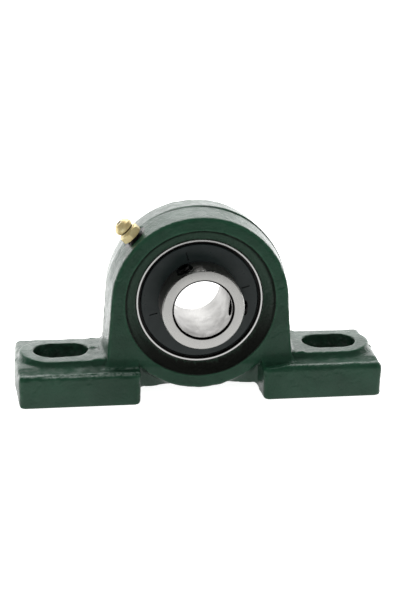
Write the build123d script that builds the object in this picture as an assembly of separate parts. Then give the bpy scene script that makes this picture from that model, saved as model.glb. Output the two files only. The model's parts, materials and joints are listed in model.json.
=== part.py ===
from build123d import *
import math
import os

# Self-aligning ball bearing insert in a one-piece cast pillow block.
# Units are millimetres. X runs along the base, Y along the shaft, Z up.
# The origin is on the base plane, straight below the middle of the bearing.
# The wide, set-screw side of the inner ring faces the front, which is -Y.

# ---------------------------------------------------------------- housing sizes
shaft_height = 33.3           # base plane to shaft centre
dome_radius = 31.7            # round back of the casting, at the parting line
base_length = 127.0
base_depth = 38.0
dome_depth = 24.0             # bearing boss and legs, front to back
foot_inner = 20.5             # half the gap between the feet
foot_height = 12.2            # at the parting line
foot_corner = 2.5             # round of the outer foot corners
foot_edge = 1.8               # round of the front outline of a foot
bolt_spacing = 95.0
slot_width = 13.0
slot_length = 19.0
slot_lip = 0.5                # break of the slot edges
pad_rise = 2.1                # bolt pad, above the foot
pad_wall = 4.6                # pad around the slot
pad_slope = 14.0              # degrees
pad_edge = 0.6
leg_flare = 4.2               # degrees that each leg leans outwards
leg_root = 3.0                # fillet between a leg and its foot
leg_sink = 1.2                # how far the legs run into the feet
dome_draft = 5.0              # degrees, from the parting line to each face
foot_draft = 2.5
dome_edge = 1.2
web_depth = 18.0              # thin web under the boss, front to back
web_edge_height = 1.8         # underside of the web beside the feet
web_mid_height = 3.0          # underside of the web in the middle
web_lap = 0.3                 # how far the web runs up past the leg bottoms

# -------------------------------------------------------------- housing opening
opening_flare = 3.9           # from the edge of the seat out to the rim
opening_step = 0.8            # straight part of the rim
seat_width = 16.4             # spherical seat, front to back

# ------------------------------------------------------------------ outer ring
outer_ring_diameter = 47.0    # sphere
outer_ring_width = 17.0
outer_rim_chamfer = 0.16
outer_raceway_depth = 1.44
seal_shoulder = 1.7           # step from the land up to the seal seat
seal_seat_depth = 2.5         # from the ring face to the shoulder
grease_offset = 4.0           # grease groove and nipple, in front of mid-plane
grease_groove_width = 2.0
grease_groove_depth = 0.7
grease_hole_diameter = 1.3
grease_hole_angles = (135, 315)

# ------------------------------------------------------------------ inner ring
bore_diameter = 20.0
inner_raceway_depth = 1.34
inner_ring_standout = 10.15   # wide side, in front of the flinger
inner_ring_back = 12.7        # mid-plane to the narrow side
bore_chamfer = 0.7
rim_chamfer = 0.35

# ---------------------------------------------------------------- balls, cage
ball_diameter = 7.938
ball_count = 8
outer_groove_factor = 0.52    # raceway radius over ball diameter
inner_groove_factor = 0.515
cage_sheet = 0.7
cage_bend = 0.4
rivet_diameter = 1.2
rivet_head_diameter = 2.1
rivet_head_height = 0.5

# ------------------------------------------------------------ seals, flingers
seal_core_sheet = 0.4
seal_core_gap = 1.8           # steel insert to the inner ring
seal_flange_width = 1.1
rubber_thickness = 0.5
rubber_rim_gap = 0.3          # rubber to the flange of its steel insert
lip_width = 0.3
flinger_recess = 0.35         # behind the outer ring face
flinger_sheet = 0.5
flinger_gap = 0.8             # flinger to the seal seat around it
flinger_rim_width = 0.9
flinger_edge = 0.3
flinger_slit_count = 4
flinger_slit_length = 2.9
flinger_slit_width = 0.35
flinger_slit_start = 1.0      # slits begin this far outside the inner ring
flinger_first_slit = 15.5     # degrees from +X

# ---------------------------------------------------------------- set screws
screw_diameter = 5.5          # pitch diameter of an M6 fine thread
screw_length = 5.0
screw_from_face = 4.6         # ring face to screw centre
screw_tip_gap = 0.5           # point of the loosened screw, back from the bore
screw_angles = (-5, 115)      # degrees from +X towards +Z
socket_across_flats = 3.0
socket_depth = 2.6
screw_chamfer = 0.5
screw_cup_radius = 1.5        # outside of the cup point
screw_cup_rim = 0.3

# --------------------------------------------------------------- grease nipple
nipple_angle = 45.0           # from the vertical towards -X
nipple_spot_depth = 0.7       # spot face, in from the round back of the casting
nipple_spot_diameter = 9.6
nipple_thread_diameter = 6.0
nipple_stem_gap = 2.0         # end of the stem to the spherical seat
nipple_thread_chamfer = 0.5
nipple_hole_extra = 0.6
nipple_neck_gap = 1.0         # bare thread under the hexagon
hex_across_flats = 7.0
hex_height = 2.6
nipple_neck_diameter = 4.2
nipple_neck_height = 0.6
nipple_head_diameter = 6.5
nipple_head_height = 3.5
nipple_head_shoulder = 1.0    # cone from the neck out to the widest part
nipple_head_band = 1.0        # straight part between the two cones
nipple_tip_diameter = 3.6
nipple_mouth = 1.9
nipple_mouth_depth = 0.3
nipple_crimp = 1.8            # crimped opening that holds the spring
nipple_crimp_depth = 0.5
check_ball_diameter = 2.5
passage_diameter = 3.0
spring_wire = 0.3
spring_turns = 6
spring_diameter = 2.4

# ------------------------------------------------------------------- clearances
seat_clearance = 0.02         # outer ring in its spherical seat
race_clearance = 0.02         # ball to each raceway
pocket_clearance = 0.15       # ball to cage
cage_clearance = 1.15         # cage to the land of each ring
loading_clearance = 0.2       # insert passing through the loading slots
rivet_clearance = 0.01
seal_clearance = 0.02         # seal case in its seat
lip_clearance = 0.05          # running seal lip
flinger_clearance = 0.01      # flinger on the inner ring
screw_clearance = 0.03        # screw in its tapped hole
nipple_clearance = 0.02
spring_clearance = 0.05

# ------------------------------------------------------------ worked-out places
shaft_line = Pos(0, 0, shaft_height)
ball_radius = ball_diameter / 2
pocket_radius = ball_radius + pocket_clearance
pad_height = foot_height + pad_rise
outer_half_width = outer_ring_width / 2
outer_sphere_radius = outer_ring_diameter / 2
seat_radius = outer_sphere_radius + seat_clearance
ball_circle_radius = (bore_diameter + outer_ring_diameter) / 4
outer_groove_bottom = ball_circle_radius + ball_radius + race_clearance
inner_groove_bottom = ball_circle_radius - ball_radius - race_clearance
outer_land_radius = outer_groove_bottom - outer_raceway_depth
inner_ring_radius = inner_groove_bottom + inner_raceway_depth
seal_seat_radius = outer_land_radius + seal_shoulder
shoulder_y = outer_half_width - seal_seat_depth
seal_core_inner_radius = inner_ring_radius + seal_core_gap
rubber_outer_radius = seal_seat_radius - seal_clearance - seal_core_sheet - rubber_rim_gap
flinger_y = outer_half_width - flinger_recess
flinger_radius = seal_seat_radius - flinger_gap
inner_ring_front = flinger_y + inner_ring_standout
screw_y = -(inner_ring_front - screw_from_face)
screw_tip_radius = bore_diameter / 2 + screw_tip_gap
nipple_spot_radius = dome_radius - nipple_spot_depth
nipple_thread_length = nipple_spot_radius - seat_radius - nipple_stem_gap
ball_pitch = 360 / ball_count
far = 2 * base_length         # size of cutting blocks
tiny = 1e-4                   # tolerance for finding edges
standing = (Align.CENTER, Align.CENTER, Align.MIN)
hanging = (Align.CENTER, Align.CENTER, Align.MAX)


def outline(start, *steps):
    """Closed face from points; a step that is a pair of points is an arc: through, to."""
    edges, here = [], start
    for step in steps + (start,):
        if isinstance(step[0], tuple):
            edges.append(ThreePointArc(here, step[0], step[1]))
            here = step[1]
        elif step != here:
            edges.append(Line(here, step))
            here = step
    return make_face(edges)


def turned(start, *steps):
    """Solid of revolution about the shaft axis, from (radius, y) points."""
    return revolve(outline(start, *steps), Axis.Y)


def both_sides(half):
    """A half that lies in front of the parting plane, joined to its mirror image."""
    return half + mirror(half, about=Plane.XZ)


def flat_at_front(edge, depth):
    """True for an edge that lies wholly in the plane y = -depth."""
    box = edge.bounding_box()
    return abs(box.min.Y + depth) < tiny and abs(box.max.Y + depth) < tiny


def front_edges(part, depth):
    return [edge for edge in part.edges() if flat_at_front(edge, depth)]


def around_shaft(angle):
    """Turn about the shaft axis, by degrees from +X towards +Z."""
    return Rot(0, -angle, 0)


# ---------------------------------------------------------------------- housing
def pulled(face, depth, angle):
    """Half a casting: a face on the parting plane, pulled forwards with draft on every side."""
    block = extrude(Plane.XZ * face, amount=depth)
    sides = [f for f in block.faces() if abs(f.normal_at().Y) < 0.5]
    return draft(sides, Plane.XZ, angle)


def arch_face(inset):
    """Boss circle, the two flared legs and their root fillets, drawn in by the draft."""
    flare = math.radians(leg_flare)
    radius = dome_radius - inset
    root = leg_root + inset
    leg_bottom = foot_height - leg_sink
    leg_top = (radius * math.cos(flare), shaft_height + radius * math.sin(flare))
    root_z = leg_bottom + leg_root
    tangent_z = shaft_height + dome_radius * math.sin(flare)
    side_x = dome_radius * math.cos(flare) + (tangent_z - root_z) * math.tan(flare)
    root_x = side_x + leg_root / math.cos(flare)
    root_end_x = root_x - math.sqrt(root**2 - leg_root**2)
    start_angle = math.pi + flare
    end_angle = math.atan2(leg_bottom - root_z, root_end_x - root_x) % (2 * math.pi)
    middle = (start_angle + end_angle) / 2
    root_start = (root_x + root * math.cos(start_angle), root_z + root * math.sin(start_angle))
    root_middle = (root_x + root * math.cos(middle), root_z + root * math.sin(middle))
    root_end = (root_end_x, leg_bottom)
    boss_x = math.sqrt(radius**2 - (shaft_height - leg_bottom) ** 2)

    def other(point):
        return (-point[0], point[1])

    return outline(
        leg_top,
        ((0, shaft_height + radius), other(leg_top)),
        other(root_start),
        (other(root_middle), other(root_end)),
        (-boss_x, leg_bottom),
        ((0, shaft_height - radius), (boss_x, leg_bottom)),
        root_end,
        (root_middle, root_start),
    )


def arch():
    """Bearing boss with its legs, front half, with rounded front edges."""
    half_depth = dome_depth / 2
    inset = half_depth * math.tan(math.radians(dome_draft))
    parting_face = Plane.XZ * arch_face(0)
    front_face = Plane.XZ.offset(half_depth) * arch_face(inset)
    block = loft([parting_face, front_face], ruled=True)
    return fillet(front_edges(block, half_depth), dome_edge)


def foot():
    """Right foot, front half, with every corner of its front outline rounded."""
    length = base_length / 2 - foot_inner
    start = Pos(foot_inner, 0)
    face = start * Rectangle(length, 2 * foot_height, align=(Align.MIN, Align.CENTER))
    top = face.vertices().filter_by(lambda v: v.Y > 0).sort_by(Axis.X)
    face = fillet(top[1], foot_corner)
    top = face.vertices().filter_by(lambda v: v.Y > 0).sort_by(Axis.X)
    face = fillet(top[0], foot_edge)
    block = pulled(face, base_depth / 2, foot_draft)
    block = fillet(front_edges(block, base_depth / 2), foot_edge)
    sole = start * RectangleRounded(length, 2 * foot_height, foot_corner, align=(Align.MIN, Align.MIN))
    return block & extrude(Plane.XZ * sole, amount=base_depth)


def leg_front_root():
    """Fillet along the front of the right leg, turned round the leg's outer corner."""
    half_depth = dome_depth / 2
    inset = half_depth * math.tan(math.radians(dome_draft))
    flare = math.radians(leg_flare)
    slope = math.tan(math.radians(foot_draft))
    shelf = foot_height - (half_depth + leg_root) * slope
    tangent_z = shaft_height + dome_radius * math.sin(flare)
    corner_x = dome_radius * math.cos(flare) - inset + (tangent_z - shelf - leg_root) * math.tan(flare)
    middle = leg_root * (1 - math.sqrt(0.5))

    def section(inner):
        """Concave fillet profile: distance from the leg, and height."""
        return outline(
            (inner, shelf - leg_sink),
            (inner, shelf + leg_root),
            (0, shelf + leg_root),
            ((middle, shelf + middle), (leg_root, shelf)),
            (leg_root, shelf - leg_sink),
        )

    forwards = Plane((0, 0, 0), x_dir=(0, -1, 0), z_dir=(-1, 0, 0))
    place = Pos(corner_x, -half_depth, 0)
    straight = extrude(forwards * section(-dome_edge), amount=corner_x - foot_inner - inset)
    turn = revolve(forwards * section(0), Axis.Z, revolution_arc=90)
    return place * (straight + turn)


def web():
    """Recessed web under the boss, front half, with an arched underside."""
    reach = foot_inner + foot_edge
    top = foot_height - leg_sink + web_lap
    face = outline(
        (-reach, web_edge_height),
        ((0, web_mid_height), (reach, web_edge_height)),
        (reach, top),
        (-reach, top),
    )
    return pulled(face, web_depth / 2, foot_draft)


def pad():
    """Raised pad around the right bolt slot, running in under the leg."""
    half_width = slot_width / 2 + pad_wall
    end_x = bolt_spacing / 2 + (slot_length - slot_width) / 2
    start_x = dome_radius - leg_root
    face = outline(
        (start_x, -half_width),
        (end_x, -half_width),
        ((end_x + half_width, 0), (end_x, half_width)),
        (start_x, half_width),
    )
    bottom = foot_height - leg_sink
    block = extrude(Pos(0, 0, bottom) * face, amount=pad_height - bottom)
    sides = [f for f in block.faces() if abs(f.normal_at().Z) < 0.5 and f.center().X > dome_radius]
    block = draft(sides, Plane.XY.offset(pad_height), pad_slope)
    top = block.faces().sort_by(Axis.Z)[-1]
    return fillet([edge for edge in top.edges() if edge.center().X > dome_radius], pad_edge)


def opening_cut():
    """Rims, flares and spherical seat, as one tool around the shaft axis."""
    seat_end = seat_width / 2
    seat_edge_radius = math.sqrt(seat_radius**2 - seat_end**2)
    opening_radius = seat_edge_radius + opening_flare
    face_y = dome_depth / 2
    rim_y = face_y - opening_step
    return turned(
        (0, -far),
        (opening_radius, -far),
        (opening_radius, -rim_y),
        (seat_edge_radius, -seat_end),
        ((seat_radius, 0), (seat_edge_radius, seat_end)),
        (opening_radius, rim_y),
        (opening_radius, far),
        (0, far),
    )


def loading_cut():
    """The two slots in the back, through which the insert goes in edge on."""
    height = outer_ring_width + loading_clearance
    return Box(2 * seat_radius, dome_depth, height, align=(Align.CENTER, Align.MIN, Align.CENTER))


def nipple_axis():
    """Frame at the spot face of the grease nipple, with Z pointing outwards."""
    place = Pos(0, -grease_offset, shaft_height) * Rot(0, -nipple_angle, 0)
    return place * Pos(0, 0, nipple_spot_radius)


def nipple_cut():
    """Spot face, tapped hole and grease passage down to the seat."""
    spot = Cylinder(nipple_spot_diameter / 2, dome_radius, align=standing)
    hole_radius = nipple_thread_diameter / 2 + nipple_clearance
    hole = Cylinder(hole_radius, nipple_thread_length + nipple_hole_extra, align=hanging)
    passage = Cylinder(passage_diameter / 2, nipple_spot_radius, align=hanging)
    return nipple_axis() * (spot + hole + passage)


def is_slot_rim(edge):
    """True for the edges where a bolt slot breaks through the top of its pad."""
    box = edge.bounding_box()
    level = abs(box.min.Z - pad_height) < tiny and abs(box.max.Z - pad_height) < tiny
    across = max(-box.min.Y, box.max.Y) < slot_width / 2 + tiny
    along = max(-box.min.X, box.max.X) < (bolt_spacing + slot_length) / 2 + tiny
    return level and across and along


def housing():
    """The casting, with its bolt slots, seat, loading slots and tapped hole."""
    quarter_parts = foot() + leg_front_root()
    half = arch() + quarter_parts + mirror(quarter_parts, about=Plane.YZ) + web()
    one_pad = pad()
    body = both_sides(half) + one_pad + mirror(one_pad, about=Plane.YZ)
    slot = extrude(SlotOverall(slot_length, slot_width), amount=far, both=True)
    for side in (-1, 1):
        body -= Pos(side * bolt_spacing / 2, 0, 0) * slot
    body = fillet([edge for edge in body.edges() if is_slot_rim(edge)], slot_lip)
    body -= shaft_line * (opening_cut() + loading_cut())
    body -= nipple_cut()
    return body


# ------------------------------------------------------------------ outer ring
def outer_ring():
    """Ring with a spherical outside, one raceway and a stepped seal seat at each side."""
    groove = outer_groove_factor * ball_diameter
    groove_y = math.sqrt(groove**2 - (groove - outer_raceway_depth) ** 2)
    rim_y = outer_half_width - outer_rim_chamfer
    rim_radius = math.sqrt(outer_sphere_radius**2 - rim_y**2)
    face_radius = rim_radius - outer_rim_chamfer
    ring = turned(
        (face_radius, -outer_half_width),
        (rim_radius, -rim_y),
        ((outer_sphere_radius, 0), (rim_radius, rim_y)),
        (face_radius, outer_half_width),
        (seal_seat_radius, outer_half_width),
        (seal_seat_radius, shoulder_y),
        (outer_land_radius, shoulder_y),
        (outer_land_radius, groove_y),
        ((outer_groove_bottom, 0), (outer_land_radius, -groove_y)),
        (outer_land_radius, -shoulder_y),
        (seal_seat_radius, -shoulder_y),
        (seal_seat_radius, -outer_half_width),
    )
    groove_floor = math.sqrt(outer_sphere_radius**2 - grease_offset**2) - grease_groove_depth
    groove_front = -grease_offset - grease_groove_width / 2
    groove_back = groove_front + grease_groove_width
    ring -= turned(
        (groove_floor, groove_front),
        (outer_ring_diameter, groove_front),
        (outer_ring_diameter, groove_back),
        (groove_floor, groove_back),
    )
    drill = Cylinder(grease_hole_diameter / 2, outer_ring_diameter, align=standing)
    for angle in grease_hole_angles:
        ring -= around_shaft(angle) * Pos(0, -grease_offset, 0) * Rot(0, 90, 0) * drill
    return shaft_line * ring


# ------------------------------------------------------------------ inner ring
def inner_ring():
    """Ring with the wide side in front, one raceway and two tapped holes for the set screws."""
    groove = inner_groove_factor * ball_diameter
    groove_y = math.sqrt(groove**2 - (groove - inner_raceway_depth) ** 2)
    bore = bore_diameter / 2
    ring = turned(
        (bore, -inner_ring_front + bore_chamfer),
        (bore + bore_chamfer, -inner_ring_front),
        (inner_ring_radius - rim_chamfer, -inner_ring_front),
        (inner_ring_radius, -inner_ring_front + rim_chamfer),
        (inner_ring_radius, -groove_y),
        ((inner_groove_bottom, 0), (inner_ring_radius, groove_y)),
        (inner_ring_radius, inner_ring_back - rim_chamfer),
        (inner_ring_radius - rim_chamfer, inner_ring_back),
        (bore + bore_chamfer, inner_ring_back),
        (bore, inner_ring_back - bore_chamfer),
    )
    drill = Cylinder(screw_diameter / 2 + screw_clearance, inner_ring_radius, align=standing)
    for angle in screw_angles:
        ring -= around_shaft(angle) * Pos(bore / 2, screw_y, 0) * Rot(0, 90, 0) * drill
    return shaft_line * ring


# ------------------------------------------------------------------ balls, cage
def ball(index):
    return shaft_line * at_ball(index) * Sphere(ball_radius)


def cage_pocket():
    """Domed pocket over one ball, with a rounded bend into the flats; and where the bend ends."""
    outside = pocket_radius + cage_sheet
    slant = math.sqrt(0.5)
    bend_x = math.sqrt((outside + cage_bend) ** 2 - (cage_sheet + cage_bend) ** 2)
    outer_share = outside / (outside + cage_bend)
    mouth_x = math.sqrt((pocket_radius + cage_bend) ** 2 - cage_bend**2)
    inner_share = pocket_radius / (pocket_radius + cage_bend)
    outer_touch = (bend_x * outer_share, -(cage_sheet + cage_bend) * outer_share)
    outer_bend = (bend_x - cage_bend * slant, -cage_sheet - cage_bend * (1 - slant))
    inner_touch = (mouth_x * inner_share, -cage_bend * inner_share)
    inner_bend = (mouth_x - cage_bend * slant, -cage_bend * (1 - slant))
    pocket = turned(
        (0, -outside),
        ((outside * slant, -outside * slant), outer_touch),
        (outer_bend, (bend_x, -cage_sheet)),
        (bend_x, 0),
        (mouth_x, 0),
        (inner_bend, inner_touch),
        ((pocket_radius * slant, -pocket_radius * slant), (0, -pocket_radius)),
    )
    return pocket, bend_x


def between_balls(index):
    """Place on the ball circle half way between two balls."""
    return around_shaft(90 + (index + 0.5) * ball_pitch) * Pos(ball_circle_radius, 0, 0)


def at_ball(index):
    return around_shaft(90 + index * ball_pitch) * Pos(ball_circle_radius, 0, 0)


def cage_front_half():
    """Pressed ribbon: a domed pocket over each ball, joined by flats that carry the rivets."""

    inside = inner_ring_radius + cage_clearance
    outside = outer_land_radius - cage_clearance

    def ribbon(depth):
        return turned((inside, -depth), (outside, -depth), (outside, 0), (inside, 0))

    pocket, bend_x = cage_pocket()
    window = Cylinder(bend_x - cage_bend / 2, far, rotation=(90, 0, 0))
    hole = Cylinder(rivet_diameter / 2 + rivet_clearance, far, rotation=(90, 0, 0))
    band = ribbon(ball_diameter)
    half = ribbon(cage_sheet)
    for index in range(ball_count):
        half -= at_ball(index) * window
    for index in range(ball_count):
        half += band & (at_ball(index) * pocket)
    for index in range(ball_count):
        half -= between_balls(index) * hole
    return half


def crown(radius, height):
    """A point half way along a domed head, whose centre of curvature is on the axis."""
    sphere = (radius**2 + height**2) / (2 * height)
    half_angle = math.asin(radius / sphere) / 2
    return sphere * math.sin(half_angle), height - sphere * (1 - math.cos(half_angle))


def cage_rivets():
    """Rivets through both halves of the cage, with a domed head at each end."""
    head = rivet_head_diameter / 2
    shank = rivet_diameter / 2
    reach = cage_sheet + rivet_clearance
    dome_x, dome_y = crown(head, rivet_head_height)
    rivet = turned(
        (0, -reach - rivet_head_height),
        ((dome_x, -reach - dome_y), (head, -reach)),
        (shank, -reach),
        (shank, reach),
        (head, reach),
        ((dome_x, reach + dome_y), (0, reach + rivet_head_height)),
    )
    return [shaft_line * between_balls(index) * rivet for index in range(ball_count)]


# ------------------------------------------------------------- seals, flingers
def seal_core():
    """Steel insert of the front seal: a flat ring with a short flange that grips the seal seat."""
    outside = seal_seat_radius - seal_clearance
    back = -shoulder_y - seal_clearance
    return turned(
        (seal_core_inner_radius, back),
        (outside, back),
        (outside, back - seal_flange_width),
        (outside - seal_core_sheet, back - seal_flange_width),
        (outside - seal_core_sheet, back - seal_core_sheet),
        (seal_core_inner_radius, back - seal_core_sheet),
    )


def seal_rubber():
    """Rubber face moulded on the front of the steel insert, with a lip towards the inner ring."""
    back = -shoulder_y - seal_clearance
    face = back - seal_core_sheet
    front = face - rubber_thickness
    tip = inner_ring_radius + lip_clearance
    return turned(
        (rubber_outer_radius, face),
        (rubber_outer_radius, front),
        (seal_core_inner_radius - rubber_thickness, front),
        (tip + lip_width, front),
        (tip, (front + face) / 2),
        (tip + lip_width, face),
        (seal_core_inner_radius - rubber_thickness, back),
        (seal_core_inner_radius - seal_clearance, back),
        (seal_core_inner_radius - seal_clearance, face),
    )


def flinger():
    """Front flinger: a stamped disc on the inner ring, rim and collar turned inwards."""
    hub = inner_ring_radius + flinger_clearance
    front = -flinger_y
    back = front + flinger_sheet
    rim_end = front + flinger_rim_width
    corner = flinger_edge * (1 - math.sqrt(0.5))
    disc = turned(
        (hub, front),
        (flinger_radius - flinger_edge, front),
        ((flinger_radius - corner, front + corner), (flinger_radius, front + flinger_edge)),
        (flinger_radius, rim_end),
        (flinger_radius - flinger_sheet, rim_end),
        (flinger_radius - flinger_sheet, back),
        (hub + flinger_sheet, back),
        (hub + flinger_sheet, rim_end),
        (hub, rim_end),
    )
    beside = (Align.MIN, Align.CENTER, Align.CENTER)
    slit = Box(flinger_slit_length, 3 * flinger_sheet, flinger_slit_width, align=beside)
    for index in range(flinger_slit_count):
        angle = flinger_first_slit + index * 360 / flinger_slit_count
        disc -= around_shaft(angle) * Pos(hub + flinger_slit_start, front, 0) * slit
    return disc


# ------------------------------------------------------------------ set screws
def set_screw(angle):
    """Headless screw with a hexagon socket outside and a cup point towards the shaft."""
    radius = screw_diameter / 2
    profile = outline(
        (0, 0),
        (screw_cup_radius, 0),
        (radius, radius - screw_cup_radius),
        (radius, screw_length - screw_chamfer),
        (radius - screw_chamfer, screw_length),
        (0, screw_length),
    )
    screw = revolve(Plane.XZ * profile, Axis.Z)
    socket = extrude(RegularPolygon(socket_across_flats / 2, 6, major_radius=False), amount=-socket_depth)
    screw -= Pos(0, 0, screw_length) * socket
    cup = screw_cup_radius - screw_cup_rim
    screw -= Cone(cup, 0, cup, align=standing)
    return shaft_line * around_shaft(angle) * Pos(screw_tip_radius, screw_y, 0) * Rot(0, 90, 0) * screw


# --------------------------------------------------------------- grease nipple
def nipple_heights():
    """Heights above the spot face: hexagon bottom, hexagon top, neck top, tip."""
    hex_bottom = nipple_neck_gap
    hex_top = hex_bottom + hex_height
    neck_top = hex_top + nipple_neck_height
    return hex_bottom, hex_top, neck_top, neck_top + nipple_head_height


def check_ball_height():
    """Centre of the check ball, where it closes the mouth from inside."""
    tip = nipple_heights()[3]
    radius = check_ball_diameter / 2 + spring_clearance
    seat = math.sqrt(radius**2 - (nipple_mouth / 2) ** 2)
    return tip - nipple_mouth_depth - seat


def nipple_body():
    """Screwed stem, hexagon, necked coupling head and the stepped bore for the check ball."""
    hex_bottom, hex_top, neck_top, tip = nipple_heights()
    thread = nipple_thread_diameter / 2
    neck = nipple_neck_diameter / 2
    head = nipple_head_diameter / 2
    end = -nipple_thread_length
    hex_middle = (hex_bottom + hex_top) / 2
    band_bottom = neck_top + nipple_head_shoulder
    body = revolve(
        Plane.XZ * outline(
            (0, end),
            (thread - nipple_thread_chamfer, end),
            (thread, end + nipple_thread_chamfer),
            (thread, hex_middle),
            (neck, hex_middle),
            (neck, neck_top),
            (head, band_bottom),
            (head, band_bottom + nipple_head_band),
            (nipple_tip_diameter / 2, tip),
            (0, tip),
        ),
        Axis.Z,
    )
    flats = hex_across_flats / 2
    nut = extrude(RegularPolygon(flats, 6, major_radius=False), amount=hex_height)
    nut &= Cone(flats + hex_height, flats, hex_height, align=standing)
    body += Pos(0, 0, hex_bottom) * nut
    ball_room = check_ball_diameter / 2 + spring_clearance
    seat_middle = check_ball_height()
    seat_top = seat_middle + math.sqrt(ball_room**2 - (nipple_mouth / 2) ** 2)
    seat_angle = math.acos(nipple_mouth / 2 / ball_room) / 2
    seat_bend = (ball_room * math.cos(seat_angle), seat_middle + ball_room * math.sin(seat_angle))
    chamber = revolve(
        Plane.XZ * outline(
            (0, 2 * end),
            (nipple_crimp / 2, 2 * end),
            (nipple_crimp / 2, end + nipple_crimp_depth),
            (ball_room, end + nipple_crimp_depth),
            (ball_room, seat_middle),
            (seat_bend, (nipple_mouth / 2, seat_top)),
            (nipple_mouth / 2, 2 * tip),
            (0, 2 * tip),
        ),
        Axis.Z,
    )
    return nipple_axis() * (body - chamber)


def nipple_ball():
    return nipple_axis() * Pos(0, 0, check_ball_height()) * Sphere(check_ball_diameter / 2)


def nipple_spring():
    """Compression spring from the crimped stem end up to the check ball."""
    rest = spring_wire / 2 + spring_clearance
    bottom = -nipple_thread_length + nipple_crimp_depth + rest
    top = check_ball_height() - check_ball_diameter / 2 - rest
    radius = (spring_diameter - spring_wire) / 2
    path = Helix((top - bottom) / spring_turns, top - bottom, radius)
    section = Plane(origin=path @ 0, z_dir=path % 0) * Circle(spring_wire / 2)
    return nipple_axis() * Pos(0, 0, bottom) * sweep(section, path=path, is_frenet=True)


# ---------------------------------------------------------------------- export
def mirrored_to_back(piece):
    return mirror(piece, about=Plane.XZ)


def build():
    cage_half = cage_front_half()
    nodes = {
        "housing": housing(),
        "outer_ring": outer_ring(),
        "inner_ring": inner_ring(),
        "cage_front": shaft_line * cage_half,
        "cage_back": shaft_line * mirrored_to_back(cage_half),
        "cage_rivets": Compound(children=cage_rivets()),
        "front_seal_core": shaft_line * seal_core(),
        "back_seal_core": shaft_line * mirrored_to_back(seal_core()),
        "front_seal_rubber": shaft_line * seal_rubber(),
        "back_seal_rubber": shaft_line * mirrored_to_back(seal_rubber()),
        "front_flinger": shaft_line * flinger(),
        "back_flinger": shaft_line * mirrored_to_back(flinger()),
        "nipple_body": nipple_body(),
        "nipple_ball": nipple_ball(),
        "nipple_spring": nipple_spring(),
    }
    for index in range(ball_count):
        nodes[f"ball_{index + 1}"] = ball(index)
    for number, angle in enumerate(screw_angles, 1):
        nodes[f"set_screw_{number}"] = set_screw(angle)
    return nodes


os.makedirs("parts", exist_ok=True)
for name, solid in build().items():
    export_step(solid, f"parts/{name}.step")
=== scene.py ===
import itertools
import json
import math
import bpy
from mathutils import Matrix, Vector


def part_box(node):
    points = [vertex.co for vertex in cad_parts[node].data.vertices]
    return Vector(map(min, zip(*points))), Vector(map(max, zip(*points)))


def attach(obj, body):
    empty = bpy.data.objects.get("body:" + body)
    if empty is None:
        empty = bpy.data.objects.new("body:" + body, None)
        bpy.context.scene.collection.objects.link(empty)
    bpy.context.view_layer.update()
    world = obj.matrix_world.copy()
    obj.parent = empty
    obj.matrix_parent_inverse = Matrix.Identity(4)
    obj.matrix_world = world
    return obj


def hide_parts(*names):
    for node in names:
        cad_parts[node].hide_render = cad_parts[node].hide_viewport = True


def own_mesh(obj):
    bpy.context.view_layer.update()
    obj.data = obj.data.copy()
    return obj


bl_info = {
    "name": "Pillow block bearing",
    "version": (1, 0, 0),
    "blender": (4, 5, 0),
    "location": "3D View > Sidebar > Bearing",
    "description": "Sand-cast housing, ground rings, threads and finishes for a pillow block bearing",
    "category": "Object",
}

import bmesh
import bpy
import numpy as np
from bpy.props import FloatProperty, FloatVectorProperty, IntProperty, PointerProperty
from mathutils import Matrix, Vector

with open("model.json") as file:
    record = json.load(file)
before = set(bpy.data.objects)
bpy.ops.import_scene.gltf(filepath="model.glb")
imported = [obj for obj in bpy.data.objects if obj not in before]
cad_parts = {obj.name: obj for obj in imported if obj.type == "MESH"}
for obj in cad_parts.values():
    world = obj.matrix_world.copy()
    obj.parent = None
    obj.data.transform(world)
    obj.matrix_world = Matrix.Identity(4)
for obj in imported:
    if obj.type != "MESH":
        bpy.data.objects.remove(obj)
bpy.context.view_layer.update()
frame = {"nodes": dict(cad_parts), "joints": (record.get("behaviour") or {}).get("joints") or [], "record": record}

MM = 0.001
UP = np.array([0.0, 0.0, 1.0])
JOINTS = {joint["name"]: joint for joint in frame["joints"]}
MOUNTS = {mount["name"]: mount for mount in frame["record"]["mounts"]}
SHAFT = np.array(JOINTS["inner_ring_spin"]["pos_m"])
SHAFT_AXIS = np.array(JOINTS["inner_ring_spin"]["axis"], float)
NIPPLE_TIP = np.array(MOUNTS["grease_nipple"]["pos_m"])
NIPPLE_AXIS = np.array(MOUNTS["grease_nipple"]["axis"])
MOUTH = 25.94 * MM              # radius where the conical mouth meets the boss's face
SPOT_DEPTH = 15 * MM            # the nipple's spot face lies less than this below its tip
SEAT_REACH = 23.7 * MM          # the bored seat lies inside this radius
SEAT_HALF_WIDTH = 8.25 * MM     # and this far to both sides of the parting plane
SEAT_CLEARANCE = 0.02 * MM      # between the seat and the outer ring's sphere
WHITE = (1, 1, 1, 1)
BLACK = (0, 0, 0, 1)


# ------------------------------------------------------------------ small tools
def linear(code):
    """Linear colour of an sRGB hex code: code / 12.92 in the dark, else ((code + 0.055) / 1.055) ** 2.4."""
    values = np.array([int(code[place:place + 2], 16) for place in (0, 2, 4)]) / 255
    curve = np.where(values <= 0.04045, values / 12.92, ((values + 0.055) / 1.055) ** 2.4)
    return (*(float(value) for value in curve), 1.0)


def size(name, what, millimetres):
    """A length property with its default in millimetres."""
    return FloatProperty(name=name, description=what, default=millimetres * MM, unit="LENGTH", precision=5)


def angle(name, what, degrees):
    """An angle property with its default in degrees."""
    return FloatProperty(name=name, description=what, default=math.radians(degrees), subtype="ANGLE")


def brightness(name, what, value):
    """A brightness property, in which 1 is white."""
    return FloatProperty(name=name, description=what, default=value, min=0)


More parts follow.
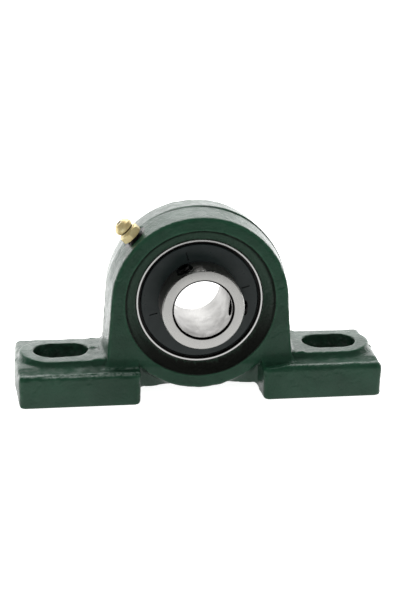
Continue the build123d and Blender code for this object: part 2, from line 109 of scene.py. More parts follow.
def whole_number(name, what, number, least, step=1):
    """A property for a whole number."""
    return IntProperty(name=name, description=what, default=number, min=least, step=step)


def finish_colour(name, what, code):
    """A colour property with its default as an sRGB hex code."""
    return FloatVectorProperty(
        name=name, description=what, default=linear(code), size=4, subtype="COLOR", min=0, max=1
    )


def vertex_array(mesh, what="co"):
    """Positions or normals of a mesh's vertices as one array."""
    values = np.empty(len(mesh.vertices) * 3, np.float32)
    if what == "co":
        mesh.vertices.foreach_get("co", values)
    else:
        mesh.vertex_normals.foreach_get("vector", values)
    return values.reshape(-1, 3).astype(float)


def face_array(mesh, what):
    """Centres or normals of a mesh's faces as one array."""
    values = np.empty(len(mesh.polygons) * 3)
    mesh.polygons.foreach_get(what, values)
    return values.reshape(-1, 3)


def node_points(name):
    """Points of a CAD node."""
    return vertex_array(frame["nodes"][name].data)


def node_span(name, origin, axis):
    """Lowest and highest distance of a CAD node's points along an axis from an origin."""
    heights = (node_points(name) - origin) @ axis
    return heights.min(), heights.max()


def half_width(name, along="x"):
    """Half of the width of a CAD node's box."""
    low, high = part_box(name)
    return (getattr(high, along) - getattr(low, along)) / 2


def shaft_radius(points):
    """Distance of points from the shaft's axis."""
    return np.hypot(points[:, 0] - SHAFT[0], points[:, 2] - SHAFT[2])


def around_nipple(points):
    """How far points lie past the nipple's tip along its axis, and their distance from that axis."""
    along = (points - NIPPLE_TIP) @ NIPPLE_AXIS
    return along, np.linalg.norm(points - NIPPLE_TIP - along[:, None] * NIPPLE_AXIS, axis=1)


def easing(values, low, high):
    """Smooth step: 0 below low, 1 above high, 3 t^2 - 2 t^3 between them."""
    t = np.clip((values - low) / (high - low), 0, 1)
    return t * t * (3 - 2 * t)


def ramp(values, low, high):
    """The same smooth step, with its ends in millimetres."""
    return easing(values, low * MM, high * MM)


def bell(values, centre, width):
    """exp(-((value - centre) / width)^2), with the centre and the width in millimetres."""
    return np.exp(-((values - centre * MM) / (width * MM)) ** 2)


def lattice_noise(points, cell_size, seed):
    """Smooth noise from -1 to 1: seeded random values on a cubic lattice, blended between the eight
    corners around each point with smooth-step weights."""
    period = 48
    table = np.random.default_rng(seed).uniform(-1, 1, (period, period, period))
    place = points / cell_size
    cell = np.floor(place).astype(int)
    share = easing(place - cell, 0, 1)
    total = np.zeros(len(points))
    for corner in itertools.product((0, 1), repeat=3):
        weight = np.prod(np.where(corner, share, 1 - share), axis=1)
        total += weight * table[tuple(((cell + corner) % period).T)]
    return total


def neighbours(mesh):
    """The two ends of every edge of a mesh, and how many edges each point has."""
    ends = np.empty(len(mesh.edges) * 2, np.int32)
    mesh.edges.foreach_get("vertices", ends)
    a, b = ends.reshape(-1, 2).T
    count = len(mesh.vertices)
    return a, b, np.bincount(a, minlength=count) + np.bincount(b, minlength=count)


def mean_around(links, values):
    """The mean of a value over the neighbours of each point."""
    a, b, degree = links
    count = len(degree)
    return (np.bincount(a, values[b], count) + np.bincount(b, values[a], count)) / degree


def bending(mesh, rounds=3):
    """Mean curvature at each point of a mesh, in 1 / m, above 0 on edges and below 0 in creases: the mean
    over its edges of (change of normal . change of place) / length^2, then averaged with its neighbours."""
    links = neighbours(mesh)
    a, b, degree = links
    points, normals = vertex_array(mesh), vertex_array(mesh, "normals")
    count = len(points)
    apart = points[b] - points[a]
    bend = np.einsum("ij,ij->i", normals[b] - normals[a], apart) / np.maximum((apart**2).sum(1), 1e-12)
    values = (np.bincount(a, bend, count) + np.bincount(b, bend, count)) / degree
    for _ in range(rounds):
        values = (values + mean_around(links, values)) / 2
    return values


def add_object(name, mesh, body, slot, replaced, *materials):
    """Puts a finished mesh into the scene, on its body, in place of a CAD node."""
    piece = bpy.data.objects.new(name, mesh)
    bpy.context.scene.collection.objects.link(piece)
    for material in materials:
        mesh.materials.append(bpy.data.materials[material])
    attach(piece, body)
    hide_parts(replaced)
    return piece


def evaluated_mesh(piece):
    """The mesh of an object with its modifiers applied."""
    return bpy.data.meshes.new_from_object(piece.evaluated_get(bpy.context.evaluated_depsgraph_get()))


# -------------------------------------------------------------- turned surfaces
def rounded(corners, steps=5):
    """Outline through corners (radius, height, fillet). A fillet starts fillet / tan(half the inside
    angle) before its corner and is the arc between the two perpendiculars at its ends, blended by
    sines of the angle travelled."""
    corners = np.array(corners, float)
    line = [corners[:1, :2]]
    for before, here, after in zip(corners[:-2], corners[1:-1], corners[2:]):
        point, fillet = here[:2], here[2]
        if not fillet:
            line.append(point[None])
            continue
        back = (before[:2] - point) / np.linalg.norm(before[:2] - point)
        on = (after[:2] - point) / np.linalg.norm(after[:2] - point)
        half = math.acos(np.clip(back @ on, -1, 1)) / 2
        centre = point + (back + on) / np.linalg.norm(back + on) * fillet / math.sin(half)
        start = point + back * fillet / math.tan(half) - centre
        end = point + on * fillet / math.tan(half) - centre
        turn = math.pi - 2 * half
        t = np.linspace(0, 1, steps + 1)[:, None]
        line.append(centre + (np.sin((1 - t) * turn) * start + np.sin(t * turn) * end) / math.sin(turn))
    line.append(corners[-1:, :2])
    return np.concatenate(line)


def subdivided(line, spacing):
    """The same outline with extra points, so that no two are further apart than the spacing."""
    steps = np.maximum(np.ceil(np.linalg.norm(np.diff(line, axis=0), axis=1) / spacing), 1).astype(int)
    along = [edge + np.arange(count) / count for edge, count in enumerate(steps)] + [[len(steps)]]
    along = np.concatenate(along)
    return np.stack([np.interp(along, np.arange(len(line)), column) for column in line.T], axis=1)


def around(radii, heights, origin, axis, start):
    """Grid of points origin + r cos(t) start + r sin(t) (axis x start) + h axis, for a grid of radii,
    one row per height and one column per angle t."""
    t = np.linspace(0, 2 * math.pi, radii.shape[1], endpoint=False)
    side = np.cross(axis, start)
    flat = np.cos(t)[:, None] * start + np.sin(t)[:, None] * side
    return origin + radii[:, :, None] * flat + heights[:, None, None] * axis


def skin(name, grid, loop=False, sharp=30):
    """Closed mesh over a grid whose columns go round. Rows either join end to end, or close on the
    middle of the first and the last row. Faces are turned outwards by the sign of the volume."""
    rows, columns = grid.shape[:2]
    points = grid.reshape(-1, 3)
    index = np.arange(rows * columns).reshape(rows, columns)
    if loop:
        index = np.concatenate([index, index[:1]])
    across = np.roll(index, -1, axis=1)
    quads = np.stack([index[:-1], across[:-1], across[1:], index[1:]], axis=-1).reshape(-1, 4)
    faces = quads.tolist()
    corners = np.concatenate([quads[:, [0, 1, 2]], quads[:, [0, 2, 3]]])
    if not loop:
        ends = len(points) + np.arange(2)
        points = np.concatenate([points, grid[0].mean(0)[None], grid[-1].mean(0)[None]])
        first = np.stack([np.full(columns, ends[0]), across[0], index[0]], axis=-1)
        last = np.stack([np.full(columns, ends[1]), index[-1], across[-1]], axis=-1)
        faces += first.tolist() + last.tolist()
        corners = np.concatenate([corners, first, last])
    a, b, c = (points[corners[:, place]] - points[0] for place in range(3))
    if np.einsum("ij,ij->i", a, np.cross(b, c)).sum() < 0:
        faces = [face[::-1] for face in faces]
    mesh = bpy.data.meshes.new(name)
    mesh.from_pydata(points.tolist(), [], faces)
    mesh.shade_smooth()
    mesh.set_sharp_from_angle(angle=math.radians(sharp))
    return mesh


def hexagon(columns, across_flats):
    """Radius of a hexagon at each angle: half the width over flats / cos(angle from the nearest flat)."""
    t = np.linspace(0, 2 * math.pi, columns, endpoint=False)
    sixth = math.pi / 3
    return across_flats / 2 / np.cos((t + sixth / 2) % sixth - sixth / 2)


def thread_radius(heights, columns, inner, outer, pitch):
    """Radius of a thread at each height and angle: a triangle wave of height / pitch - turns, stretched
    and clipped to flat crests and roots between the inner and the outer radius."""
    turns = np.arange(columns) / columns
    phase = (heights[:, None] / pitch - turns) % 1
    wave = np.clip((np.abs(4 * phase - 2) - 1) * 1.35, -1, 1)
    return (inner + outer) / 2 + (outer - inner) / 2 * wave


# -------------------------------------------------------------------- materials
def add(tree, kind, *inputs, **settings):
    """Adds a shader node. Settings are its properties. Inputs go to the sockets in use, in their order,
    or by name from one dictionary, and each is a value, or the socket or node that feeds it."""
    node = tree.nodes.new("ShaderNode" + kind)
    for name, value in settings.items():
        setattr(node, name, value)
    if inputs and isinstance(inputs[0], dict):
        pairs = [(node.inputs[name], value) for name, value in inputs[0].items()]
    else:
        pairs = zip([socket for socket in node.inputs if socket.enabled], inputs)
    for socket, value in pairs:
        if isinstance(value, bpy.types.Node):
            value = next(output for output in value.outputs if output.enabled)
        if isinstance(value, bpy.types.NodeSocket):
            tree.links.new(value, socket)
        else:
            socket.default_value = value
    return node


def lumps(millimetres):
    """Scale of a noise whose lumps are about this many millimetres across."""
    return 1 / (millimetres * MM)


def new_material(name):
    """An empty material, its tree, and the object's coordinates that its patterns are drawn in."""
    material = bpy.data.materials.new(name)
    material.use_nodes = True
    tree = material.node_tree
    tree.nodes.clear()
    return material, tree, add(tree, "TexCoord").outputs["Object"]


def covered(material, inputs):
    """The material, ended in one Principled shader with its uniform values on the shader's own sockets."""
    tree = material.node_tree
    add(tree, "OutputMaterial", add(tree, "BsdfPrincipled", inputs))
    return material


def painted_cast_iron(colours):
    """Green alkyd enamel dipped over a sand casting. The sand of the mould shows through the paint as a
    fine orange-peel grain with shallow pits. Thin paint on the edges is a brighter green, painted lighter as a
    highlight, and creases are painted darker as shade. The parting line is a broken dark line along the middle
    plane, painted shade of the step there. Low in the mouth and under the nipple the paint is darkened as
    painted shade. The feet's front rims are paler, partly wear and partly painted highlight, and the web is
    paler as painted light."""
    material, tree, place = new_material("painted_cast_iron")
    names = ("edge", "crease", "seam", "mouth", "grime_and_shade", "wear_and_painted_light", "dull")
    mark = {name: add(tree, "Attribute", attribute_name=name).outputs["Fac"] for name in names}
    patches = add(tree, "TexNoise", place, lumps(11.0), 3.0)
    share = add(tree, "MapRange", patches, 0.35, 0.65)
    green = add(tree, "Mix", share, colours.paint_deep, colours.paint, data_type="RGBA")
    # Convex edges get a lighter green: thin enamel there, painted lighter as a highlight.
    thin = add(tree, "Math", mark["edge"], 0.4, operation="MULTIPLY")
    # Creases get the crease colour: dirt and thick paint there, darkened further as painted shade.
    thick = add(tree, "Math", mark["crease"], 0.35, operation="MULTIPLY")
    layers = (
        (thin, colours.edge_highlight_paint),
        (add(tree, "Math", mark["seam"], thick, operation="MAXIMUM"), colours.paint_shadow),
        (mark["mouth"], colours.paint_dry),
        (mark["wear_and_painted_light"], colours.paint_wear_and_light),
        (mark["grime_and_shade"], colours.grime_and_shade),
    )
    for share, layer in layers:
        green = add(tree, "Mix", share, green, layer, data_type="RGBA")
    sand = add(tree, "TexNoise", place, lumps(0.8), 2.0)
    grains = add(tree, "TexNoise", place, lumps(0.35), 1.0)
    pits = add(tree, "MapRange", add(tree, "TexNoise", place, lumps(2.6), 1.0), 0.60, 0.78)
    sand = add(tree, "Math", sand, 0.9, operation="MULTIPLY")
    grains = add(tree, "Math", grains, 0.4, operation="MULTIPLY")
    pits = add(tree, "Math", pits, 0.8, operation="MULTIPLY")
    height = add(tree, "Math", add(tree, "Math", sand, grains, operation="ADD"), pits, operation="SUBTRACT")
    bump = add(tree, "Bump", {"Height": height, "Strength": 0.8, "Distance": 0.16 * MM})
    gloss = add(tree, "MapRange", add(tree, "TexNoise", place, lumps(3.5), 2.0), 0.3, 0.7, 0.30, 0.46)
    matt = add(tree, "Math", mark["seam"], mark["dull"], operation="MAXIMUM")
    matt = add(tree, "Math", matt, 0.35, operation="MULTIPLY")
    return covered(material, {
        "Base Color": green,
        "Roughness": add(tree, "Math", gloss, matt, operation="ADD"),
        "IOR": 1.37,
        "Coat Weight": add(tree, "MapRange", mark["dull"], 0.0, 1.0, 0.45, 0.0),
        "Coat Roughness": 0.22,
        "Coat IOR": 1.3,
        "Normal": bump,
        "Coat Normal": bump,
    })


def rings_of_wear(tree, place, spacing):
    """Lines left by grinding or turning: noise over the distance from the shaft axis, which is the
    length of (x, 0, z) from the shaft, with lines of the given spacing in millimetres; and that distance."""
    centred = add(tree, "Mapping", place, tuple(-SHAFT))
    across = add(tree, "VectorMath", centred, (1, 0, 1), operation="MULTIPLY")
    radius = add(tree, "VectorMath", across, operation="LENGTH")
    along = add(tree, "SeparateXYZ", centred).outputs["Y"]
    travelled = add(tree, "Math", radius, along, operation="ADD")
    return add(tree, "TexNoise", travelled, lumps(spacing), 1.0, noise_dimensions="1D"), radius


def turned_steel(name, light, dark, rough, spacing, depth, scale_inside=None, streaks=0.0):
    """Metal shaped on a lathe or grinding spindle: fine rings round the shaft, wider than real ones so
    that they show, with a slight cloudiness in colour and gloss from handling and oil. Within the radius
    scale_inside it keeps the dark scale of its heat treatment. Streaks spread the light along the shaft."""
    material, tree, place = new_material(name)
    rings, radius = rings_of_wear(tree, place, spacing)
    cloud = add(tree, "TexNoise", place, lumps(4.0), 3.0)
    grit = add(tree, "TexNoise", place, lumps(0.25), 1.0)
    half_rings = add(tree, "Math", rings, 0.5, operation="MULTIPLY")
    half_cloud = add(tree, "Math", cloud, 0.5, operation="MULTIPLY")
    share = add(tree, "Math", half_rings, half_cloud, operation="ADD")
    share = add(tree, "MapRange", share, 0.35, 0.65)
    colour = add(tree, "Mix", share, dark, light, data_type="RGBA")
    if scale_inside:
        ground = add(tree, "MapRange", radius, scale_inside, scale_inside + 0.1 * MM)
        colour = add(tree, "Mix", ground, linear("262423"), colour, data_type="RGBA")
    grit = add(tree, "Math", grit, 0.6, operation="MULTIPLY")
    height = add(tree, "Math", rings, grit, operation="ADD")
    inputs = {
        "Base Color": colour,
        "Metallic": 1.0,
        "Roughness": add(tree, "MapRange", cloud, 0.3, 0.7, rough * 0.85, rough * 1.2),
        "Anisotropic": streaks,
        "Anisotropic Rotation": 0.25,
        "Normal": add(tree, "Bump", {"Height": height, "Strength": 0.5, "Distance": depth * MM}),
    }
    if streaks:
        inputs["Tangent"] = add(tree, "Tangent", direction_type="RADIAL", axis="Y")
    return covered(material, inputs)


def plain_finish(name, uniform, first, second, patch, rough, grain, depth):
    """A finish of two close colours in patches, uneven gloss and a fine grain, sizes in millimetres."""
    material, tree, place = new_material(name)
    share = add(tree, "MapRange", add(tree, "TexNoise", place, lumps(patch), 3.0), 0.35, 0.65)
    cloud = add(tree, "TexNoise", place, lumps(patch / 2), 2.0)
    height = add(tree, "TexNoise", place, lumps(grain), 2.0)
    return covered(material, uniform | {
        "Base Color": add(tree, "Mix", share, first, second, data_type="RGBA"),
        "Roughness": add(tree, "MapRange", cloud, 0.3, 0.7, rough * 0.8, rough * 1.25),
        "Normal": add(tree, "Bump", {"Height": height, "Strength": 0.5, "Distance": depth * MM}),
    })


def dress(material, *names):
    """Gives CAD nodes that keep their own shape a finish."""
    for name in names:
        for slot in frame["nodes"][name].material_slots:
            slot.material = material


# --------------------------------------------------------------------- settings
class FinishSettings(bpy.types.PropertyGroup):
    paint: finish_colour("Paint", "Green enamel where it is thick", "1f4b36")
    paint_deep: finish_colour("Deep paint", "Green enamel in its darker patches", "1a412e")
    # Brighter green on convex edges: thin enamel there, painted lighter as a highlight.
    edge_highlight_paint: finish_colour("Edge paint", "Thin enamel along the edges", "2a5c42")
    paint_dry: finish_colour("Dry paint", "Thin dull enamel in the mouth of the casting", "3f5448")
    # Dark paint low in the mouth, along its rim and under the nipple, as painted shade, and dirt on the slot
    # walls.
    grime_and_shade: finish_colour("Grime", "Oily dirt low in the mouth and in the slots", "10150f")
    # Pale paint on the feet's front rims, partly chalky wear and partly a painted highlight, also laid thinly over
    # the web as painted light.
    paint_wear_and_light: finish_colour("Worn paint", "Chalky paint along the front rims of the feet", "74857c")
    # Creases are darkened with this as painted shade, besides dirt and thick paint there. On the seam it is
    # painted shade of the parting step.
    paint_shadow: finish_colour("Crease paint", "Dirt and thick paint in creases and on the seam", "0c1d15")
    steel: finish_colour("Bearing steel", "Ground faces of the rings", "e6e6e3")
    steel_dull: finish_colour("Dull bearing steel", "Ground faces where they are oily", "dddcd8")
    iron: finish_colour("Machined iron", "Sole and seat of the casting", "9b9a97")
    flinger: finish_colour("Flinger", "Black coat of the stamped flingers", "222d2c")
    brass: finish_colour("Nipple", "Yellow-passivated zinc on the nipple", "f6e9b4")
    brass_dark: finish_colour("Nipple shade", "The same where it is thin", "e0ca90")


class CastingSettings(bpy.types.PropertyGroup):
    grid: size("Grid", "Spacing of the remeshed surface", 0.36)
    lump: size("Lumps", "Height of the broad unevenness of the casting", 0.10)
    ripple: size("Ripples", "Height of the waves along its edges", 0.13)
    sand: size("Sand", "Height of the sand grain of the mould", 0.035)
    mismatch: size("Mismatch", "How far the mould's front half lies down and left of its back half", 0.15)
    step: size("Parting step", "Depth of the step at the parting line", 0.32)
    rim_rise: size("Rim rise", "Rise of the right foot's front rim", 0.65)
    ledge: size("Ledge", "Depth of the ledge along the left foot's front rim", 0.45)
    flash: size("Flash", "Height of the fins left where the mould halves met", 0.8)
    pad_draft: angle("Pad draft", "Tilt of the pads' tops, down from the parting plane", 2.5)
    fillet_rounds: whole_number("Fillet rounds", "Rounds of smoothing at inside corners", 36, 0)
    faces: whole_number("Triangles", "Most triangles of the casting", 188000, 1000)


class RingSettings(bpy.types.PropertyGroup):
    fillet: size("Fillet", "Round of the inner ring's edges", 0.12)
    thread_depth: size("Thread depth", "Depth of the thread cut into the set-screw holes", 0.3)
    pitch: size("Pitch", "Pitch of the set-screw thread", 0.75)
    steps: whole_number("Steps", "Steps round the ring", 240, 24)


class ScrewSettings(bpy.types.PropertyGroup):
    across_flats: size("Socket", "Width over flats of the hexagon socket", 3.0)
    socket_depth: size("Socket depth", "Depth of the hexagon socket", 2.6)
    thread_depth: size("Thread depth", "Depth of the screw thread", 0.38)
    chamfer: size("Chamfer", "Chamfer at the socket end", 0.5)
    cup: size("Cup", "Radius of the cup point", 1.5)
    steps: whole_number("Steps", "Steps round a screw, in sixths", 96, 24, 6)


class NippleSettings(bpy.types.PropertyGroup):
    across_flats: size("Hexagon", "Width over flats of the hexagon", 7.0)
    hexagon_height: size("Hexagon height", "Height of the hexagon", 2.6)
    neck_gap: size("Neck gap", "Bare thread under the hexagon", 1.0)
    neck: size("Neck", "Diameter of the neck above the hexagon", 4.2)
    neck_height: size("Neck height", "Height of the neck", 0.6)
    head: size("Head", "Widest diameter of the coupling head", 6.5)
    head_height: size("Head height", "Height of the coupling head", 3.5)
    tip: size("Tip", "Diameter of the flat tip", 3.6)
    mouth: size("Mouth", "Diameter of the grease opening", 1.9)
    thread: size("Thread", "Diameter of the stem", 6.0)
    pitch: size("Pitch", "Pitch of the stem's thread", 1.0)
    stem: size("Stem", "Length of the stem below the spot face", 5.48)
    steps: whole_number("Steps", "Steps round the nipple, in sixths", 144, 24, 6)
    spring: size("Spring", "Outer diameter of the spring under the check ball", 2.4)
    wire: size("Wire", "Diameter of the spring's wire", 0.3)
    turns: whole_number("Turns", "Turns of the spring", 6, 3)
    travel: size("Travel", "How far grease pushes the check ball in", 0.8)


class StageSettings(bpy.types.PropertyGroup):
    azimuth: angle("Azimuth", "Camera angle round the bearing", -8.1116)
    elevation: angle("Elevation", "Camera angle above the horizon", 18.8106)
    roll: angle("Roll", "Camera roll", 0.8094)
    distance: size("Distance", "Camera to its target", 579.53)
    lens: FloatProperty(
        name="Lens", description="Focal length for a 36 mm sensor", default=99.532, unit="CAMERA"
    )
    overhead: brightness("Overhead softbox", "Brightness of the softbox above", 4.2)
    behind: brightness("Back panel", "Brightness of the panel behind", 1.0)
    fill: brightness("Fill", "Brightness of the surroundings for matt surfaces", 1.1)


# -------------------------------------------------------------------- operators
class BEARING_OT_casting(bpy.types.Operator):
    """One-piece sand casting: the housing with the lumps, ripples and sand grain of its mould, the step
    where the two mould halves meet, and bare machined metal on the sole and in the spherical seat"""

    bl_idname = "bearing.casting"
    bl_label = "Casting"

    def execute(self, context):
        settings = context.scene.bearing_casting
        mesh = self.even_surface(settings)
        self.softened(mesh, settings)
        self.roughened(mesh, settings)
        mesh = self.thinned(mesh, settings.faces)
        self.clear_seat(mesh)
        self.machined(mesh)
        self.mark(mesh)
        add_object("housing_casting", mesh, "housing", "painted_iron", "housing")
        return {"FINISHED"}

    def even_surface(self, settings):
        """The CAD solid, welded and rebuilt on an even grid, which rounds its edges by about one cell."""
        welded = bmesh.new()
        welded.from_mesh(frame["nodes"]["housing"].data)
        bmesh.ops.remove_doubles(welded, verts=welded.verts, dist=1e-6)
        mesh = bpy.data.meshes.new("housing_casting")
        welded.to_mesh(mesh)
        welded.free()
        return self.modified(mesh, "REMESH", mode="VOXEL", voxel_size=settings.grid, use_smooth_shade=True)

    def modified(self, mesh, kind, **options):
        """A mesh with one modifier applied."""
        helper = bpy.data.objects.new("casting_blank", mesh)
        bpy.context.scene.collection.objects.link(helper)
        modifier = helper.modifiers.new(kind.title(), kind)
        for name, value in options.items():
            setattr(modifier, name, value)
        result = evaluated_mesh(helper)
        bpy.data.objects.remove(helper)
        return result

    def softened(self, mesh, settings):
        """Rounds out the inside corners of the casting, by moving each point near one towards the mean of
        its neighbours again and again, and tilts the top of each pad down from the parting plane by the
        draft of the mould. The front rim of the right foot rises, and that of the left foot has a ledge."""
        points = vertex_array(mesh)
        links = neighbours(mesh)
        radius = shaft_radius(points)
        past_tip, off_nipple = around_nipple(points)
        spot_face = (past_tip > -SPOT_DEPTH) & (off_nipple < 7 * MM)
        share = easing(-bending(mesh), 150, 500)
        for _ in range(settings.fillet_rounds):
            share = (share + mean_around(links, share)) / 2
        share = easing(share, 0.01, 0.12) * ramp(radius, 28.5, 30) * ~spot_face
        share *= 0.7 * ramp(points[:, 2], 0.4, 1.2)
        root = (1 - ramp(np.abs(points[:, 0]), 32, 36)) * ramp(-points[:, 1], 9, 11)
        share *= 1 - root * (1 - ramp(np.abs(points[:, 2] - 14 * MM), 3, 5))
        for _ in range(settings.fillet_rounds):
            for axis in range(3):
                value = points[:, axis]
                points[:, axis] = value + share * (mean_around(links, value) - value)
        pad = ramp(points[:, 2], 12.4, 14.0) * ramp(np.abs(points[:, 0]), 36, 38) * (radius > 32 * MM)
        points[:, 2] -= pad * math.tan(settings.pad_draft) * np.abs(points[:, 1])
        shelf = ramp(points[:, 2], 9, 11.5) * (1 - ramp(points[:, 2], 13.2, 14))
        rim = ramp(-points[:, 1], 13, 18) * ramp(points[:, 0], 24, 30)
        points[:, 2] += settings.rim_rise * shelf * rim
        ledge = ramp(points[:, 2], 10.75, 11.05) * ramp(-points[:, 1], 17, 18.2)
        ledge *= ramp(points[:, 0], -57, -50) * (points[:, 0] < 0)
        points[:, 1] += settings.ledge * ledge
        self.move(mesh, points)

    def roughened(self, mesh, settings):
        """Moves each point along its normal by three sizes of noise, the middle one mostly on edges, and
        none in the seat, on the sole or on the nipple's spot face. Just in front of the parting plane
        the surface drops by a step that runs out forwards, broken by fins of flash, and the front half
        of the boss is moved down and to the left."""
        points, normals = vertex_array(mesh), vertex_array(mesh, "normals")
        edge = easing(bending(mesh), 90, 330)
        radius = shaft_radius(points)
        depth, level = points[:, 1], points[:, 2]
        past_tip, off_nipple = around_nipple(points)
        cast = ramp(radius, 23.6, 24.4) * ramp(level, 0.2, 1.0)
        cast *= np.where(past_tip > -SPOT_DEPTH, ramp(off_nipple, 4.7, 5.2), 1)
        height = settings.lump * lattice_noise(points, 9 * MM, 1)
        height += settings.ripple * (0.15 + 0.85 * edge) * lattice_noise(points, 2.4 * MM, 2)
        height += settings.sand * lattice_noise(points, 1.1 * MM, 3)
        outside = ramp(radius, 26.5, 29.5) * ramp(level, 1, 3)
        boss = ramp(level, 15, 19) * (0.12 + 0.88 * ramp(points[:, 0], -22, -4))
        uneven = 0.5 + 0.5 * lattice_noise(points, 5 * MM, 4)
        runout = ramp(depth, -1.8, -0.1) * (depth < 0)
        height -= settings.step * (0.1 + 0.9 * boss) * (0.5 + 0.7 * uneven) * runout * outside
        along_seam = points * (1, 0, 1)
        fin = 0.5 * easing(lattice_noise(along_seam, 1.9 * MM, 5), 0.35, 0.8) * (1 - ramp(level, 24, 34))
        fin = np.maximum(fin, bell(points[:, 0], -36.4, 1.3))
        height += settings.flash * fin * bell(depth, 0, 0.3) * outside
        points += (cast * height)[:, None] * normals
        slip = settings.mismatch * (depth < 0) * outside * boss
        points[:, 0] -= slip
        points[:, 2] -= slip
        self.move(mesh, points)

    def mark(self, mesh):
        """Stores at each point what the paint follows: how much of an edge, of a crease and of the parting
        line it is, how thin or dull the paint is there, where it is paler from wear and painted light, and where
        it is darker from dirt and painted shade."""
        points = vertex_array(mesh)
        bend = bending(mesh)
        radius = shaft_radius(points)
        mouth = (1 - easing(radius, MOUTH - 0.1 * MM, MOUTH + 0.2 * MM)) * ramp(radius, 22, 22.5)
        shelf = ramp(points[:, 2], 10.6, 11.4) * (1 - ramp(points[:, 2], 13.2, 13.7))
        marks = {
            "edge": easing(bend, 120, 420),
            "crease": easing(-bend, 120, 420),
            "seam": self.seam(points, radius),
            "mouth": mouth,
            "grime_and_shade": self.grime_and_shade(points, radius, mouth),
            "dull": self.dull(points, shelf),
            "wear_and_painted_light": self.wear_and_painted_light(points, radius, shelf),
        }
        for name, values in marks.items():
            attribute = mesh.attributes.new(name, "FLOAT", "POINT")
            attribute.data.foreach_set("value", values.astype(np.float32))

    def seam(self, points, radius):
        """The broken dark line just in front of the parting plane, mostly on the right of the boss, which is
        painted shade of the step there, and specks of dirt along the plane at the left foot."""
        # Painted shade of the parting step: a broken dark line just in front of it.
        line = ramp(points[:, 1], -0.75, -0.4) * (1 - ramp(points[:, 1], -0.15, 0.1))
        line *= easing(lattice_noise(points, 3 * MM, 6), -0.7, 0.3) * ramp(radius, 26.5, 28)
        line *= 0.04 + 0.8 * ramp(points[:, 0], -18, -4) * ramp(points[:, 2], 15, 19)
        specks = easing(lattice_noise(points, 0.9 * MM, 7), 0.2, 0.5) * bell(points[:, 1], 0, 4)
        specks *= ramp(-points[:, 0], 29, 31) * (1 - ramp(-points[:, 0], 38, 40))
        return np.maximum(line, 0.8 * specks * (1 - ramp(points[:, 2], 30, 44)))

    def grime_and_shade(self, points, radius, mouth):
        """Painted shade low in the mouth, along its inner edge and under the nipple, and dirt on the walls of
        the slots. A slot's wall is the outline of a straight part between two half circles."""
        across = points - SHAFT
        # Painted shade: darker towards the bottom of the mouth and in a band near its rim.
        low = ramp(0.15 * across[:, 0] - across[:, 2], -6, 18)
        inner_edge = easing(radius, MOUTH - 1.2 * MM, MOUTH - 0.5 * MM)
        grime_and_shade = mouth * np.maximum(low, 0.85 * inner_edge)
        sizes = MOUNTS["bolt_slots"]["dims"]
        slot = {name: value * MM for name, value in sizes.items() if name.endswith("_mm")}
        half_straight = slot["slot_length_mm"] / 2 - slot["hole_r_mm"]
        off_centre = np.abs(np.abs(points[:, 0]) - slot["spacing_x_mm"] / 2)
        past_straight = np.maximum(off_centre - half_straight, 0)
        wall = 1 - ramp(np.hypot(past_straight, points[:, 1]) - slot["hole_r_mm"], 0.2, 0.6)
        wall = 0.85 * wall * (0.6 + 0.4 * lattice_noise(points, 1.2 * MM, 8))
        # Painted shade under the nipple's hexagon.
        past_tip, off_nipple = around_nipple(points)
        under_nipple = (past_tip > -SPOT_DEPTH) * (1 - ramp(off_nipple, 4.3, 4.9))
        return np.maximum(np.maximum(grime_and_shade, wall), under_nipple)

    def dull(self, points, shelf):
        """Paint without its gloss, on the flat top in front of each pad."""
        front = -points[:, 1]
        dull = shelf * ramp(front, 10, 11.5) * (1 - ramp(front, 16.6, 17.6))
        return dull * np.clip(0.8 + 0.4 * lattice_noise(points, 1.3 * MM, 9), 0, 1)

    def wear_and_painted_light(self, points, radius, shelf):
        """Pale paint along the front rims of both feet, down the foot of the left leg and along the left foot's
        ledge, partly chalky wear and partly a painted highlight, and thinly over the web as painted light."""
        front = -points[:, 1]
        left, right = points[:, 0] < -20 * MM, points[:, 0] > 37 * MM
        rim = bell(front, 17.6, 0.6) * (left | right)
        ledge = bell(points[:, 2], 10.9, 0.3) * (front > 18 * MM)
        ledge *= left * ramp(points[:, 0], -57, -50)
        at_leg = bell(front, 14.2, 0.5) * left * (points[:, 0] > -35 * MM)
        wear_and_painted_light = np.maximum(shelf * np.maximum(rim, at_leg), 0.8 * ledge)
        wear_and_painted_light *= 0.8 * easing(lattice_noise(points, 0.7 * MM, 10), -0.6, 0.6)
        # Painted light: the web is made paler, as if lit from the floor below.
        web = (np.abs(points[:, 0]) < 22 * MM) & (np.abs(front) < 10 * MM) & (points[:, 2] < 13 * MM)
        return np.maximum(wear_and_painted_light, 0.3 * web * (radius > 27 * MM))

    def move(self, mesh, points):
        """Sets the points, each kept inside the box of the CAD solid."""
        points = np.clip(points, *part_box("housing"))
        mesh.vertices.foreach_set("co", points.astype(np.float32).ravel())
        mesh.update()

    def thinned(self, mesh, most):
        """The casting with its flat stretches thinned out, to about this many triangles."""
        return self.modified(mesh, "DECIMATE", ratio=min(1, most / (2 * len(mesh.polygons))))

    def clear_seat(self, mesh):
        """Clears the bored seat from the outer ring's sphere: a point of it that is nearer than the seat's
        radius moves straight out from the centre of the insert."""
        seat_radius = half_width("outer_ring") + SEAT_CLEARANCE
        points = vertex_array(mesh)
        from_centre = points - SHAFT
        distance = np.linalg.norm(from_centre, axis=1)
        bored = (distance < seat_radius) & (np.abs(points[:, 1]) < SEAT_HALF_WIDTH)
        points[bored] = SHAFT + from_centre[bored] * (seat_radius / distance[bored])[:, None]
        self.move(mesh, points)

